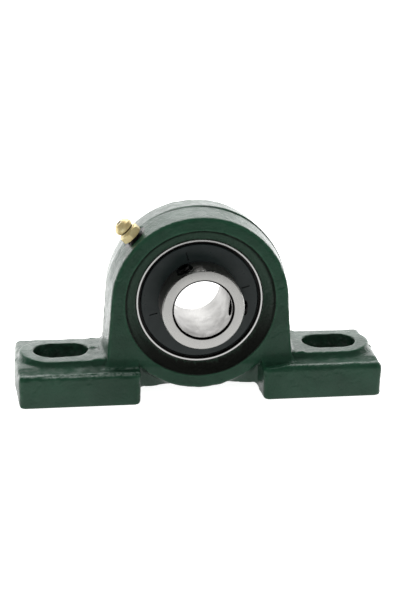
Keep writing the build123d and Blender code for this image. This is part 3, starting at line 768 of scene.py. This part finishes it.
    def machined(self, mesh):
        """Gives the sole and the bored seat the finish of machined iron, and the rest its paint."""
        centres, normals = face_array(mesh, "center"), face_array(mesh, "normal")
        sole = (centres[:, 2] < 0.15 * MM) & (normals[:, 2] < -0.8)
        seat = (shaft_radius(centres) < SEAT_REACH) & (np.abs(centres[:, 1]) < SEAT_HALF_WIDTH)
        for name in ("painted_cast_iron", "machined_cast_iron"):
            mesh.materials.append(bpy.data.materials[name])
        mesh.polygons.foreach_set("material_index", (sole | seat).astype(np.int32))
        mesh.shade_smooth()


class BEARING_OT_inner_ring(bpy.types.Operator):
    """Inner ring: a ground ring with rounded edges, its raceway and two tapped holes for the set screws"""

    bl_idname = "bearing.inner_ring"
    bl_label = "Inner ring"

    def execute(self, context):
        settings = context.scene.bearing_ring
        back, front = node_span("inner_ring", SHAFT, SHAFT_AXIS)
        bore = MOUNTS["bore"]["dims"]["r_mm"] * MM
        outside = half_width("inner_ring")
        chamfer = 0.7 * MM
        profile = self.profile(bore, outside, back, front, chamfer, settings.fillet)
        radii = np.repeat(profile[:, :1], settings.steps, axis=1)
        grid = around(radii, profile[:, 1], SHAFT, SHAFT_AXIS, UP)
        mesh = skin("inner_ring_ground", grid, loop=True)
        piece = add_object("inner_ring_ground", mesh, "inner_ring", "ring_steel", "inner_ring",
                           "ground_bearing_steel")
        cutters = [self.tap(piece, number, bore, outside, settings) for number in (1, 2)]
        mesh = evaluated_mesh(piece)
        piece.modifiers.clear()
        piece.data = mesh
        for cutter in cutters:
            bpy.data.objects.remove(cutter)
        for name in ("honed_bore_steel", "scaled_chamfer_steel", "cylinder_ground_steel"):
            mesh.materials.append(bpy.data.materials[name])
        centres = face_array(mesh, "center")
        radius, along = shaft_radius(centres), (centres - SHAFT) @ SHAFT_AXIS
        end = (along > front - chamfer) | (along < back + chamfer)
        tapped = np.abs(along - self.screw_level()) < 3.4 * MM
        ground = radius > outside * 0.999
        dark = (end & (radius < bore + chamfer * 0.97)) | (tapped & (radius < outside * 0.999))
        finish = np.select([radius < bore + 0.02 * MM, dark, ground], [1, 2, 3], 0)
        mesh.polygons.foreach_set("material_index", finish.astype(np.int32))
        mesh.shade_smooth()
        mesh.set_sharp_from_angle(angle=math.radians(30))
        return {"FINISHED"}

    def profile(self, bore, outside, back, front, chamfer, fillet):
        """Closed outline of the ring's section: its edges with their rounds, and the raceway, an arc a
        little wider than a ball, from which the balls stand off by their clearance."""
        ball, clearance = half_width("ball_3"), 0.02 * MM
        groove = 1.03 * ball
        groove_floor = abs(JOINTS["ball_3_spin"]["pos_m"][0]) - ball - clearance
        half_groove = math.sqrt(groove**2 - (groove + groove_floor - outside) ** 2)
        sweep = math.asin(half_groove / groove)
        t = np.linspace(sweep, -sweep, 24)
        raceway = np.stack([groove_floor + groove - groove * np.cos(t), groove * np.sin(t)], axis=1)
        rim = 0.35 * MM
        corners = [
            (outside, half_groove, 0),
            (outside, front - rim, fillet),
            (outside - rim, front, fillet),
            (bore + chamfer, front, fillet),
            (bore, front - chamfer, fillet),
            (bore, back + chamfer, fillet),
            (bore + chamfer, back, fillet),
            (outside - rim, back, fillet),
            (outside, back + rim, fillet),
            (outside, -half_groove, 0),
        ]
        return subdivided(np.concatenate([rounded(corners)[:-1], raceway[::-1][:-1]]), 1.5 * MM)

    def screw_level(self):
        """Distance of the set screws along the shaft."""
        return (node_points("set_screw_1").mean(0) - SHAFT) @ SHAFT_AXIS

    def tap(self, piece, number, bore, outside, settings):
        """Cuts one threaded hole with a threaded rod, whose crests are the roots of the thread."""
        axis = np.array(JOINTS[f"set_screw_{number}_travel"]["axis"])
        origin = SHAFT + np.array([0, node_points(f"set_screw_{number}").mean(0)[1], 0])
        hole = half_width(f"set_screw_{number}", "y") + 0.03 * MM
        heights = np.arange(bore - 1.5 * MM, outside + 1.5 * MM, settings.pitch / 10)
        radii = thread_radius(heights, 72, hole, hole + settings.thread_depth, settings.pitch)
        mesh = skin("tap", around(radii, heights, origin, axis, SHAFT_AXIS))
        cutter = bpy.data.objects.new(f"tap_{number}", mesh)
        bpy.context.scene.collection.objects.link(cutter)
        cut = piece.modifiers.new(cutter.name, "BOOLEAN")
        cut.operation = "DIFFERENCE"
        cut.solver = "EXACT"
        cut.object = cutter
        return cutter


class BEARING_OT_set_screws(bpy.types.Operator):
    """Two headless set screws, each one surface from its cup point over the thread to the floor of its
    hexagon socket"""

    bl_idname = "bearing.set_screws"
    bl_label = "Set screws"

    def execute(self, context):
        settings = context.scene.bearing_screw
        for number in (1, 2):
            name = f"set_screw_{number}"
            axis = np.array(JOINTS[name + "_travel"]["axis"])
            origin = SHAFT + np.array([0, node_points(name).mean(0)[1], 0])
            point, end = node_span(name, origin, axis)
            grid = self.surface(settings, half_width(name, "y"), end - point, origin + point * axis, axis)
            mesh = skin(name + "_threaded", grid)
            add_object(name + "_threaded", mesh, name, "screw_steel", name, "black_oxide_steel")
        return {"FINISHED"}

    def surface(self, settings, radius, length, origin, axis):
        """Rows of radius and height along one line, from the middle of the cup to the middle of the
        socket floor. Along the shank the radius is the smaller of the line's and the thread's, and in
        the socket it is the hexagon's."""
        rim = 0.3 * MM
        fillet = 0.08 * MM
        pitch = 0.75 * MM
        socket = settings.across_flats / 2
        cup = settings.cup - rim
        shank = rounded([
            (0.02 * MM, cup, 0),
            (cup, 0.0, fillet),
            (settings.cup, 0.0, fillet),
            (radius, radius - settings.cup, fillet),
            (radius, length - settings.chamfer, fillet),
            (radius - settings.chamfer, length, fillet),
            (socket * 1.25, length, 0),
        ])
        shank = subdivided(shank, 0.09 * MM)
        opening = np.array([(socket * 1.25, length), (socket * 1.01, length - 0.12 * MM)])
        wall = rounded([
            (socket, length - 0.14 * MM, 0),
            (socket, length - settings.socket_depth, fillet),
            (0.02 * MM, length - settings.socket_depth - 0.5 * MM, 0),
        ])
        wall = subdivided(wall, 0.4 * MM)
        columns = settings.steps
        thread = thread_radius(shank[:, 1], columns, radius - settings.thread_depth, radius, pitch)
        outside = np.maximum.accumulate(shank[:, 0]) > cup * 1.05
        threaded = np.where(outside[:, None], np.minimum(shank[:, :1], thread), shank[:, :1])
        face = shank[:, 1] > length - fillet
        threaded = np.where(face[:, None], shank[:, :1], threaded)
        socket_rows = wall[:, :1] * hexagon(columns, 2.0)
        mouth_round = np.repeat(opening[:1, :1], columns, axis=1)
        mouth_hexagon = opening[1:, :1] * hexagon(columns, 2.0)
        radii = np.concatenate([threaded[:-1], mouth_round, mouth_hexagon, socket_rows])
        heights = np.concatenate([shank[:-1, 1], opening[:, 1], wall[:, 1]])
        return around(radii, heights, origin, axis, SHAFT_AXIS)


class BEARING_OT_nipple(bpy.types.Operator):
    """Grease nipple: threaded stem, chamfered hexagon, waisted coupling head and the bore for its check
    ball and spring, as one closed surface"""

    bl_idname = "bearing.nipple"
    bl_label = "Grease nipple"

    def execute(self, context):
        sizes = context.scene.bearing_nipple
        tip = sizes.neck_gap + sizes.hexagon_height + sizes.neck_height + sizes.head_height
        origin = NIPPLE_TIP - tip * NIPPLE_AXIS
        neck_top = sizes.neck_gap + sizes.hexagon_height + sizes.neck_height
        radii, heights = self.surface(sizes, origin, neck_top, tip)
        side = np.cross(NIPPLE_AXIS, SHAFT_AXIS)
        mesh = skin("nipple_fitting", around(radii, heights, origin, NIPPLE_AXIS, side), loop=True, sharp=35)
        centres = face_array(mesh, "center") - origin
        level = centres @ NIPPLE_AXIS
        off_axis = np.linalg.norm(centres - level[:, None] * NIPPLE_AXIS, axis=1)
        # Painted shade: the crevice of the neck, and the thread under the hexagon.
        neck = (level > neck_top - 0.15 * MM) & (level < neck_top + 0.45 * MM)
        neck &= (off_axis < sizes.head / 2 - 0.2 * MM) & (off_axis > sizes.mouth / 2)
        finish = np.select([level < sizes.neck_gap, neck], [1, 2], 0)
        add_object("nipple_fitting", mesh, "housing", "nipple_brass", "nipple_body",
                   "yellow_zinc_plated_steel", "sealed_thread", "tarnished_zinc")
        mesh.polygons.foreach_set("material_index", finish.astype(np.int32))
        return {"FINISHED"}

    def surface(self, sizes, origin, neck_top, tip):
        """Rows of radius and height from the stem's end up the outside, over the tip and down the bore.
        Along the stem the radius is the smaller of the outline's and the thread's, and on the nut it is
        the smaller of the outline's and the hexagon's."""
        corner = sizes.across_flats / math.sqrt(3)
        hexagon_top = sizes.neck_gap + sizes.hexagon_height
        chamfer, crimp, fillet = 0.5 * MM, 0.9 * MM, 0.12 * MM
        outside = rounded([
            (crimp, -sizes.stem, 0),
            (sizes.thread / 2 - chamfer, -sizes.stem, 0.1 * MM),
            (sizes.thread / 2, -sizes.stem + chamfer, 0.1 * MM),
            (sizes.thread / 2, sizes.neck_gap, 0.1 * MM),
            (sizes.across_flats / 2, sizes.neck_gap, 0.05 * MM),
            (corner, sizes.neck_gap + 0.3 * MM, fillet),
            (corner, hexagon_top - 0.55 * MM, fillet),
            (sizes.across_flats / 2 - 0.1 * MM, hexagon_top, fillet),
            (sizes.neck / 2 + 0.65 * MM, hexagon_top, 0.2 * MM),
            (sizes.neck / 2 + 0.5 * MM, neck_top - 0.1 * MM, 0.1 * MM),
            (sizes.neck / 2, neck_top - 0.1 * MM, 0.05 * MM),
            (sizes.neck / 2, neck_top + 0.2 * MM, 0.05 * MM),
            (sizes.head / 2 - 0.3 * MM, neck_top + 0.35 * MM, 0.1 * MM),
            (sizes.head / 2, neck_top + 0.8 * MM, 0.4 * MM),
            (sizes.head / 2, neck_top + 2.0 * MM, 0.9 * MM),
            (sizes.tip / 2, tip, 0.45 * MM),
            (sizes.mouth / 2, tip, 0.1 * MM),
            (sizes.mouth / 2, tip - 0.3 * MM, 0),
        ])
        outside = subdivided(outside, 0.12 * MM)
        columns = sizes.steps
        radii, heights = np.repeat(outside[:, :1], columns, axis=1), outside[:, 1]
        nut = (heights > sizes.neck_gap + 0.01 * MM) & (heights < hexagon_top - 0.01 * MM)
        nut &= outside[:, 0] > sizes.across_flats / 2 - 0.2 * MM
        flats = hexagon(columns, sizes.across_flats)
        radii = np.where(nut[:, None], np.minimum(radii, flats), radii)
        stem = (heights < sizes.neck_gap - 0.15 * MM) & (outside[:, 0] > sizes.thread / 2 - 1.01 * chamfer)
        thread = thread_radius(heights, columns, sizes.thread / 2 - 0.5 * MM, sizes.thread / 2, sizes.pitch)
        radii = np.where(stem[:, None], np.minimum(radii, thread), radii)
        inside = self.bore(sizes, origin, crimp, -sizes.stem + chamfer)
        radii = np.concatenate([radii, np.repeat(inside[:, :1], columns, axis=1)])
        return radii, np.concatenate([heights, inside[:, 1]])

    def bore(self, sizes, origin, crimp, floor):
        """Radius and height down the bore: an arc of the check ball's seat, a straight bore and a floor
        that is crimped in to hold the spring."""
        room = half_width("nipple_ball", "y") + 0.05 * MM
        low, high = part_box("nipple_ball")
        ball_height = (np.array(low + high) / 2 - origin) @ NIPPLE_AXIS
        t = np.linspace(math.acos(sizes.mouth / 2 / room), 0, 8)
        seat = np.stack([room * np.cos(t), ball_height + room * np.sin(t)], axis=1)
        return np.concatenate([seat, [[room, floor], [crimp, floor]]])


class BEARING_OT_spring(bpy.types.Operator):
    """Compression spring under the check ball: a round wire along a helix whose pitch eases down to the
    wire's own diameter at both ends"""

    bl_idname = "bearing.spring"
    bl_label = "Nipple spring"

    def execute(self, context):
        sizes = context.scene.bearing_nipple
        level = (node_points("nipple_spring") - NIPPLE_TIP) @ NIPPLE_AXIS
        low, high = level.min() + sizes.wire / 2, level.max() - sizes.wire / 2
        t = np.linspace(0, 2 * math.pi * sizes.turns, 32 * sizes.turns + 1)
        turn = t / (2 * math.pi)
        from_end = np.minimum(turn, sizes.turns - turn)
        # Climb per turn above the closed ends' climb, scaled so that the last turn ends at the ball.
        opening = easing(from_end, 0.6, 1.2)
        climb = np.concatenate([[0], np.cumsum(opening[1:] + opening[:-1])])
        closed = sizes.wire * turn
        height = low + closed + climb / climb[-1] * (high - low - closed[-1])
        side = np.cross(NIPPLE_AXIS, SHAFT_AXIS)
        outwards = np.cos(t)[:, None] * side + np.sin(t)[:, None] * np.cross(NIPPLE_AXIS, side)
        middle = NIPPLE_TIP + (sizes.spring - sizes.wire) / 2 * outwards + height[:, None] * NIPPLE_AXIS
        along = np.gradient(middle, axis=0)
        along /= np.linalg.norm(along, axis=1)[:, None]
        across = np.cross(along, outwards)
        across /= np.linalg.norm(across, axis=1)[:, None]
        a = np.linspace(0, 2 * math.pi, 12, endpoint=False)[None, :, None]
        section = np.cos(a) * outwards[:, None] + np.sin(a) * across[:, None]
        mesh = skin("check_ball_spring", middle[:, None] + sizes.wire / 2 * section)
        piece = add_object("check_ball_spring", mesh, "housing", "spring_steel", "nipple_spring",
                           "drawn_spring_wire")
        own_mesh(piece)
        return {"FINISHED"}


class BEARING_OT_finishes(bpy.types.Operator):
    """Every finish of the bearing, and the finishes of the parts that keep their plain shape: outer ring,
    flingers, seals, balls, cage, rivets and check ball"""

    bl_idname = "bearing.finishes"
    bl_label = "Finishes"

    def execute(self, context):
        colours = context.scene.bearing_finish
        painted_cast_iron(colours)
        # Grey iron turned on a lathe: dull, with tool marks about a third of a millimetre apart.
        turned_steel("machined_cast_iron", colours.iron, linear("85847f"), 0.42, 0.35, 0.02)
        # Bearing steel after grinding: bright and satin, with rings finer than a hair.
        turned_steel("ground_bearing_steel", colours.steel, colours.steel_dull, 0.27, 0.16, 0.006)
        # The outer ring is ground on its sphere and faces only, and dark with scale in its seal seats.
        points = node_points("outer_ring")
        front = points[:, 1] < points[:, 1].min() + 0.01 * MM
        scaled = float(shaft_radius(points[front]).min()) + 0.26 * MM
        ring = turned_steel("ground_outer_ring_steel", linear("f1f1ef"), linear("e8e8e6"), 0.2, 0.16, 0.006,
                            scale_inside=scaled)
        # The wide end of the inner ring is ground round and round, which draws light out along the shaft.
        turned_steel("cylinder_ground_steel", linear("a9a7a4"), linear("989693"), 0.36, 0.16, 0.004,
                     streaks=0.85)
        # Chamfers are not ground after heat treatment, and keep a thin black scale.
        turned_steel("scaled_chamfer_steel", linear("242221"), linear("1b1a19"), 0.4, 0.3, 0.01)
        # The bore is honed: greyer and rougher than the ring's faces.
        turned_steel("honed_bore_steel", linear("b4b3b1"), linear("adacaa"), 0.5, 0.2, 0.01)
        # Stamped sheet steel under a thin black coat: semi-gloss with a faint blue cast.
        black = plain_finish("black_coated_sheet", {"IOR": 1.5}, colours.flinger, linear("273131"),
                             6.0, 0.34, 0.5, 0.012)
        # Black oxide on hardened screws: nearly black metal with a dull oily gloss.
        plain_finish("black_oxide_steel", {"Metallic": 1.0}, linear("2a2a2c"), linear("3a3938"),
                     1.5, 0.32, 0.3, 0.01)
        # Turned steel under yellow-passivated zinc: pale brass colour, between metal and a matt film.
        plain_finish("yellow_zinc_plated_steel", {"Metallic": 0.35}, colours.brass, colours.brass_dark,
                     2.2, 0.34, 0.4, 0.012)
        # The same zinc, painted brown and dull in the crevice of the neck as painted shade.
        plain_finish("tarnished_zinc", {"IOR": 1.5}, linear("5d4d2a"), linear("6e5d36"),
                     1.0, 0.6, 0.3, 0.02)
        # The thread under the hexagon, painted black as the shade in the gap under the nut.
        plain_finish("sealed_thread", {"IOR": 1.5}, linear("131412"), linear("1c1c18"), 1.0, 0.6, 0.3, 0.02)
        # Cold-rolled strip, pressed: grey with fine scuffs.
        strip = plain_finish("pressed_strip_steel", {"Metallic": 1.0}, linear("a5a39e"), linear("8f8d88"),
                             3.0, 0.35, 0.3, 0.008)
        # Sheet steel under a grey-black phosphate: matt and faintly mottled.
        insert = plain_finish("phosphated_sheet_steel", {"IOR": 1.5}, linear("1b1b1a"), linear("232322"),
                              3.0, 0.55, 0.3, 0.008)
        # Moulded nitrile rubber: matt black with a soft sheen.
        rubber = plain_finish("moulded_nitrile_rubber", {"IOR": 1.5}, linear("171717"), linear("1f1f1e"),
                              4.0, 0.6, 0.3, 0.01)
        # Lapped chrome steel: mirror bright.
        chrome = plain_finish("polished_chrome_steel", {"Metallic": 1.0}, linear("d9d9d7"),
                              linear("cdcdcb"), 2.0, 0.06, 0.4, 0.001)
        # Drawn spring wire: grey and half bright.
        plain_finish("drawn_spring_wire", {"Metallic": 1.0}, linear("8c8b88"), linear("777673"),
                     0.6, 0.3, 0.15, 0.005)
        # Small steel ball: dull dark grey, darker than bare steel.
        dull_grey_ball = plain_finish("greased_steel_ball", {"IOR": 1.5}, linear("56544e"), linear("63615a"),
                               1.0, 0.4, 0.3, 0.01)
        dress(ring, "outer_ring")
        dress(black, "front_flinger", "back_flinger")
        dress(strip, "cage_front", "cage_back", "cage_rivets")
        dress(insert, "front_seal_core", "back_seal_core")
        dress(rubber, "front_seal_rubber", "back_seal_rubber")
        dress(chrome, *(name for name in frame["nodes"] if name.startswith("ball_")))
        dress(dull_grey_ball, "nipple_ball")
        return {"FINISHED"}


class BEARING_OT_stage(bpy.types.Operator):
    """Pale studio: floor, surroundings, a softbox overhead, a panel behind, and the camera"""

    bl_idname = "bearing.stage"
    bl_label = "Stage"

    def execute(self, context):
        settings = context.scene.bearing_stage
        self.floor()
        self.surroundings(context.scene, settings.fill)
        target = Vector((0, 0, 0.03))
        self.softbox("overhead_softbox", (0.0, 0.45, 0.60), target, 0.6, 0.4, settings.overhead)
        self.softbox("back_panel", (-0.2, 0.9, 0.35), target, 1.0, 0.6, settings.behind)
        self.camera(context.scene, settings)
        context.scene.view_settings.view_transform = "Standard"
        return {"FINISHED"}

    def floor(self):
        """Matt white sweep. It glows for the camera, so that it merges with the background and keeps a
        faint shadow. It also glows for glossy rays, as a painted reflection that is bright behind and beside the
        bearing, with a painted pool of light in front of it that fades forwards and to both sides."""
        half = 1.6
        corners = [(-half, -half, 0), (half, -half, 0), (half, half, 0), (-half, half, 0)]
        mesh = bpy.data.meshes.new("floor")
        mesh.from_pydata(corners, [], [(0, 1, 2, 3)])
        floor = bpy.data.objects.new("floor", mesh)
        bpy.context.scene.collection.objects.link(floor)
        mesh.materials.append(self.sweep())

    def sweep(self):
        """The floor's material. Distances are in metres: Y runs back from the shaft, X to the right."""
        material, tree, place = new_material("matt_white_sweep")
        mottle = add(tree, "TexNoise", place, lumps(60.0), 2.0)
        paper = add(tree, "Mix", mottle, linear("f2f2f0"), linear("f6f6f4"), data_type="RGBA")
        where = add(tree, "SeparateXYZ", place).outputs
        near = add(tree, "MapRange", where["Y"], -0.207, -0.176, 0.10, 0.73, interpolation_type="SMOOTHSTEP")
        aside = add(tree, "Math", where["X"], operation="ABSOLUTE")
        extra = add(tree, "MapRange", aside, 0.02, 0.035, 0.0, 0.4)
        at_feet = add(tree, "MapRange", where["Y"], -0.07, -0.03)
        extra = add(tree, "Math", extra, at_feet, operation="MULTIPLY")
        near = add(tree, "Math", near, extra, operation="ADD")
        within = add(tree, "MapRange", aside, 0.075, 0.13, 1.0, 0.05, interpolation_type="SMOOTHSTEP")
        pool = add(tree, "Math", near, within, operation="MULTIPLY")
        behind = add(tree, "MapRange", where["Y"], -0.03, 0.04)
        flank = add(tree, "MapRange", aside, 0.03, 0.045, 1.0, 2.4)
        behind = add(tree, "Math", behind, flank, operation="MULTIPLY")
        pool = add(tree, "Math", pool, behind, operation="MAXIMUM")
        rays = add(tree, "LightPath").outputs
        mirrored = add(tree, "Math", rays["Is Glossy Ray"], rays["Is Transmission Ray"], operation="MAXIMUM")
        seen = add(tree, "Math", rays["Is Camera Ray"], 0.9, operation="MULTIPLY")
        # Painted reflection: the floor glows by this pool only for glossy and transmission rays.
        shine = add(tree, "Math", mirrored, pool, operation="MULTIPLY")
        return covered(material, {
            "Base Color": add(tree, "Mix", mirrored, paper, BLACK, data_type="RGBA"),
            "Roughness": 0.9,
            "IOR": 1.3,
            "Emission Color": WHITE,
            "Emission Strength": add(tree, "Math", seen, shine, operation="ADD"),
        })

    def surroundings(self, scene, fill):
        """White for the camera. Gloss and clear parts see the white background behind, a dark room in
        front and a bright slot overhead, and matt surfaces get a plain soft light, most of it from the
        sides."""
        world = bpy.data.worlds.new("studio")
        world.use_nodes = True
        tree = world.node_tree
        tree.nodes.clear()
        toward = add(tree, "SeparateXYZ", add(tree, "TexCoord").outputs["Generated"]).outputs
        behind = add(tree, "MapRange", toward["Y"], 0.1, 0.5, 0.06, 1.15, interpolation_type="SMOOTHSTEP")
        low = add(tree, "MapRange", toward["Z"], 0.30, 0.72, 1.0, 0.08, interpolation_type="SMOOTHSTEP")
        right = add(tree, "MapRange", toward["X"], 0.2, 0.45, 1.0, 2.2)
        room = add(tree, "Math", behind, low, operation="MULTIPLY")
        room = add(tree, "Math", room, right, operation="MULTIPLY")
        aside = add(tree, "Math", toward["X"], operation="ABSOLUTE")
        narrow = add(tree, "MapRange", aside, 0.06, 0.14, 1.0, 0.0)
        slot_front = add(tree, "MapRange", toward["Y"], -0.1, 0.0)
        slot_back = add(tree, "MapRange", toward["Y"], 0.25, 0.35, 5.0, 0.0)
        slot = add(tree, "Math", narrow, slot_front, operation="MULTIPLY")
        slot = add(tree, "Math", slot, slot_back, operation="MULTIPLY")
        room = add(tree, "Math", room, slot, operation="ADD")
        sides = add(tree, "MapRange", toward["Z"], 0.0, 0.6, 1.0, 0.4)
        matt = add(tree, "Math", sides, fill, operation="MULTIPLY")
        rays = add(tree, "LightPath").outputs
        mirrored = add(tree, "Math", rays["Is Glossy Ray"], rays["Is Transmission Ray"], operation="MAXIMUM")
        strength = add(tree, "Mix", mirrored, matt, room)
        strength = add(tree, "Math", strength, rays["Is Camera Ray"], operation="MAXIMUM")
        add(tree, "OutputWorld", add(tree, "Background", WHITE, strength))
        scene.world = world

    def softbox(self, name, place, target, width, depth, brightness):
        """Rectangular lamp of the given brightness per area, pointed at the bearing and hidden from the
        camera. Its power is brightness x area x pi."""
        lamp = bpy.data.lights.new(name, "AREA")
        lamp.shape, lamp.size, lamp.size_y = "RECTANGLE", width, depth
        lamp.energy = brightness * width * depth * math.pi
        holder = bpy.data.objects.new(name, lamp)
        holder.location = place
        holder.rotation_euler = (Vector(place) - target).to_track_quat("Z", "Y").to_euler()
        holder.visible_camera = False
        bpy.context.scene.collection.objects.link(holder)

    def camera(self, scene, settings):
        """Long lens from the front, a little to the left and above. Its axes are the right and up
        directions of the azimuth and elevation, turned by the roll."""
        azimuth, elevation, roll = settings.azimuth, settings.elevation, settings.roll
        level = math.cos(elevation)
        back = Vector((math.sin(azimuth) * level, -math.cos(azimuth) * level, math.sin(elevation)))
        right = Vector((math.cos(azimuth), math.sin(azimuth), 0))
        up = back.cross(right)
        x = math.cos(roll) * right + math.sin(roll) * up
        y = math.cos(roll) * up - math.sin(roll) * right
        aim = Vector((1.596, 0, 30.955)) * MM
        place = aim + settings.distance * back
        lens = bpy.data.cameras.new("camera")
        lens.lens = settings.lens
        lens.sensor_width = 36
        lens.shift_x = -0.0006
        lens.shift_y = -0.002
        camera = bpy.data.objects.new("camera", lens)
        camera.matrix_world = Matrix.Translation(place) @ Matrix((x, y, back)).transposed().to_4x4()
        scene.collection.objects.link(camera)
        scene.camera = camera


class VIEW3D_PT_bearing(bpy.types.Panel):
    """Sidebar panel with one button for each group of pieces"""

    bl_label = "Pillow block bearing"
    bl_space_type = "VIEW_3D"
    bl_region_type = "UI"
    bl_category = "Bearing"

    def draw(self, context):
        for operator in OPERATORS:
            self.layout.operator(operator.bl_idname)


OPERATORS = (
    BEARING_OT_finishes,
    BEARING_OT_casting,
    BEARING_OT_inner_ring,
    BEARING_OT_set_screws,
    BEARING_OT_nipple,
    BEARING_OT_spring,
    BEARING_OT_stage,
)
SETTINGS = {
    "bearing_finish": FinishSettings,
    "bearing_casting": CastingSettings,
    "bearing_ring": RingSettings,
    "bearing_screw": ScrewSettings,
    "bearing_nipple": NippleSettings,
    "bearing_stage": StageSettings,
}
CLASSES = (*SETTINGS.values(), *OPERATORS, VIEW3D_PT_bearing)


def register():
    for one in CLASSES:
        bpy.utils.register_class(one)
    for name, group in SETTINGS.items():
        setattr(bpy.types.Scene, name, PointerProperty(type=group))


def unregister():
    for name in SETTINGS:
        delattr(bpy.types.Scene, name)
    for one in reversed(CLASSES):
        bpy.utils.unregister_class(one)


def main():
    register()
    bpy.ops.bearing.finishes()
    bpy.ops.bearing.casting()
    bpy.ops.bearing.inner_ring()
    bpy.ops.bearing.set_screws()
    bpy.ops.bearing.nipple()
    bpy.ops.bearing.spring()
    bpy.ops.bearing.stage()


if __name__ == "__main__":
    main()
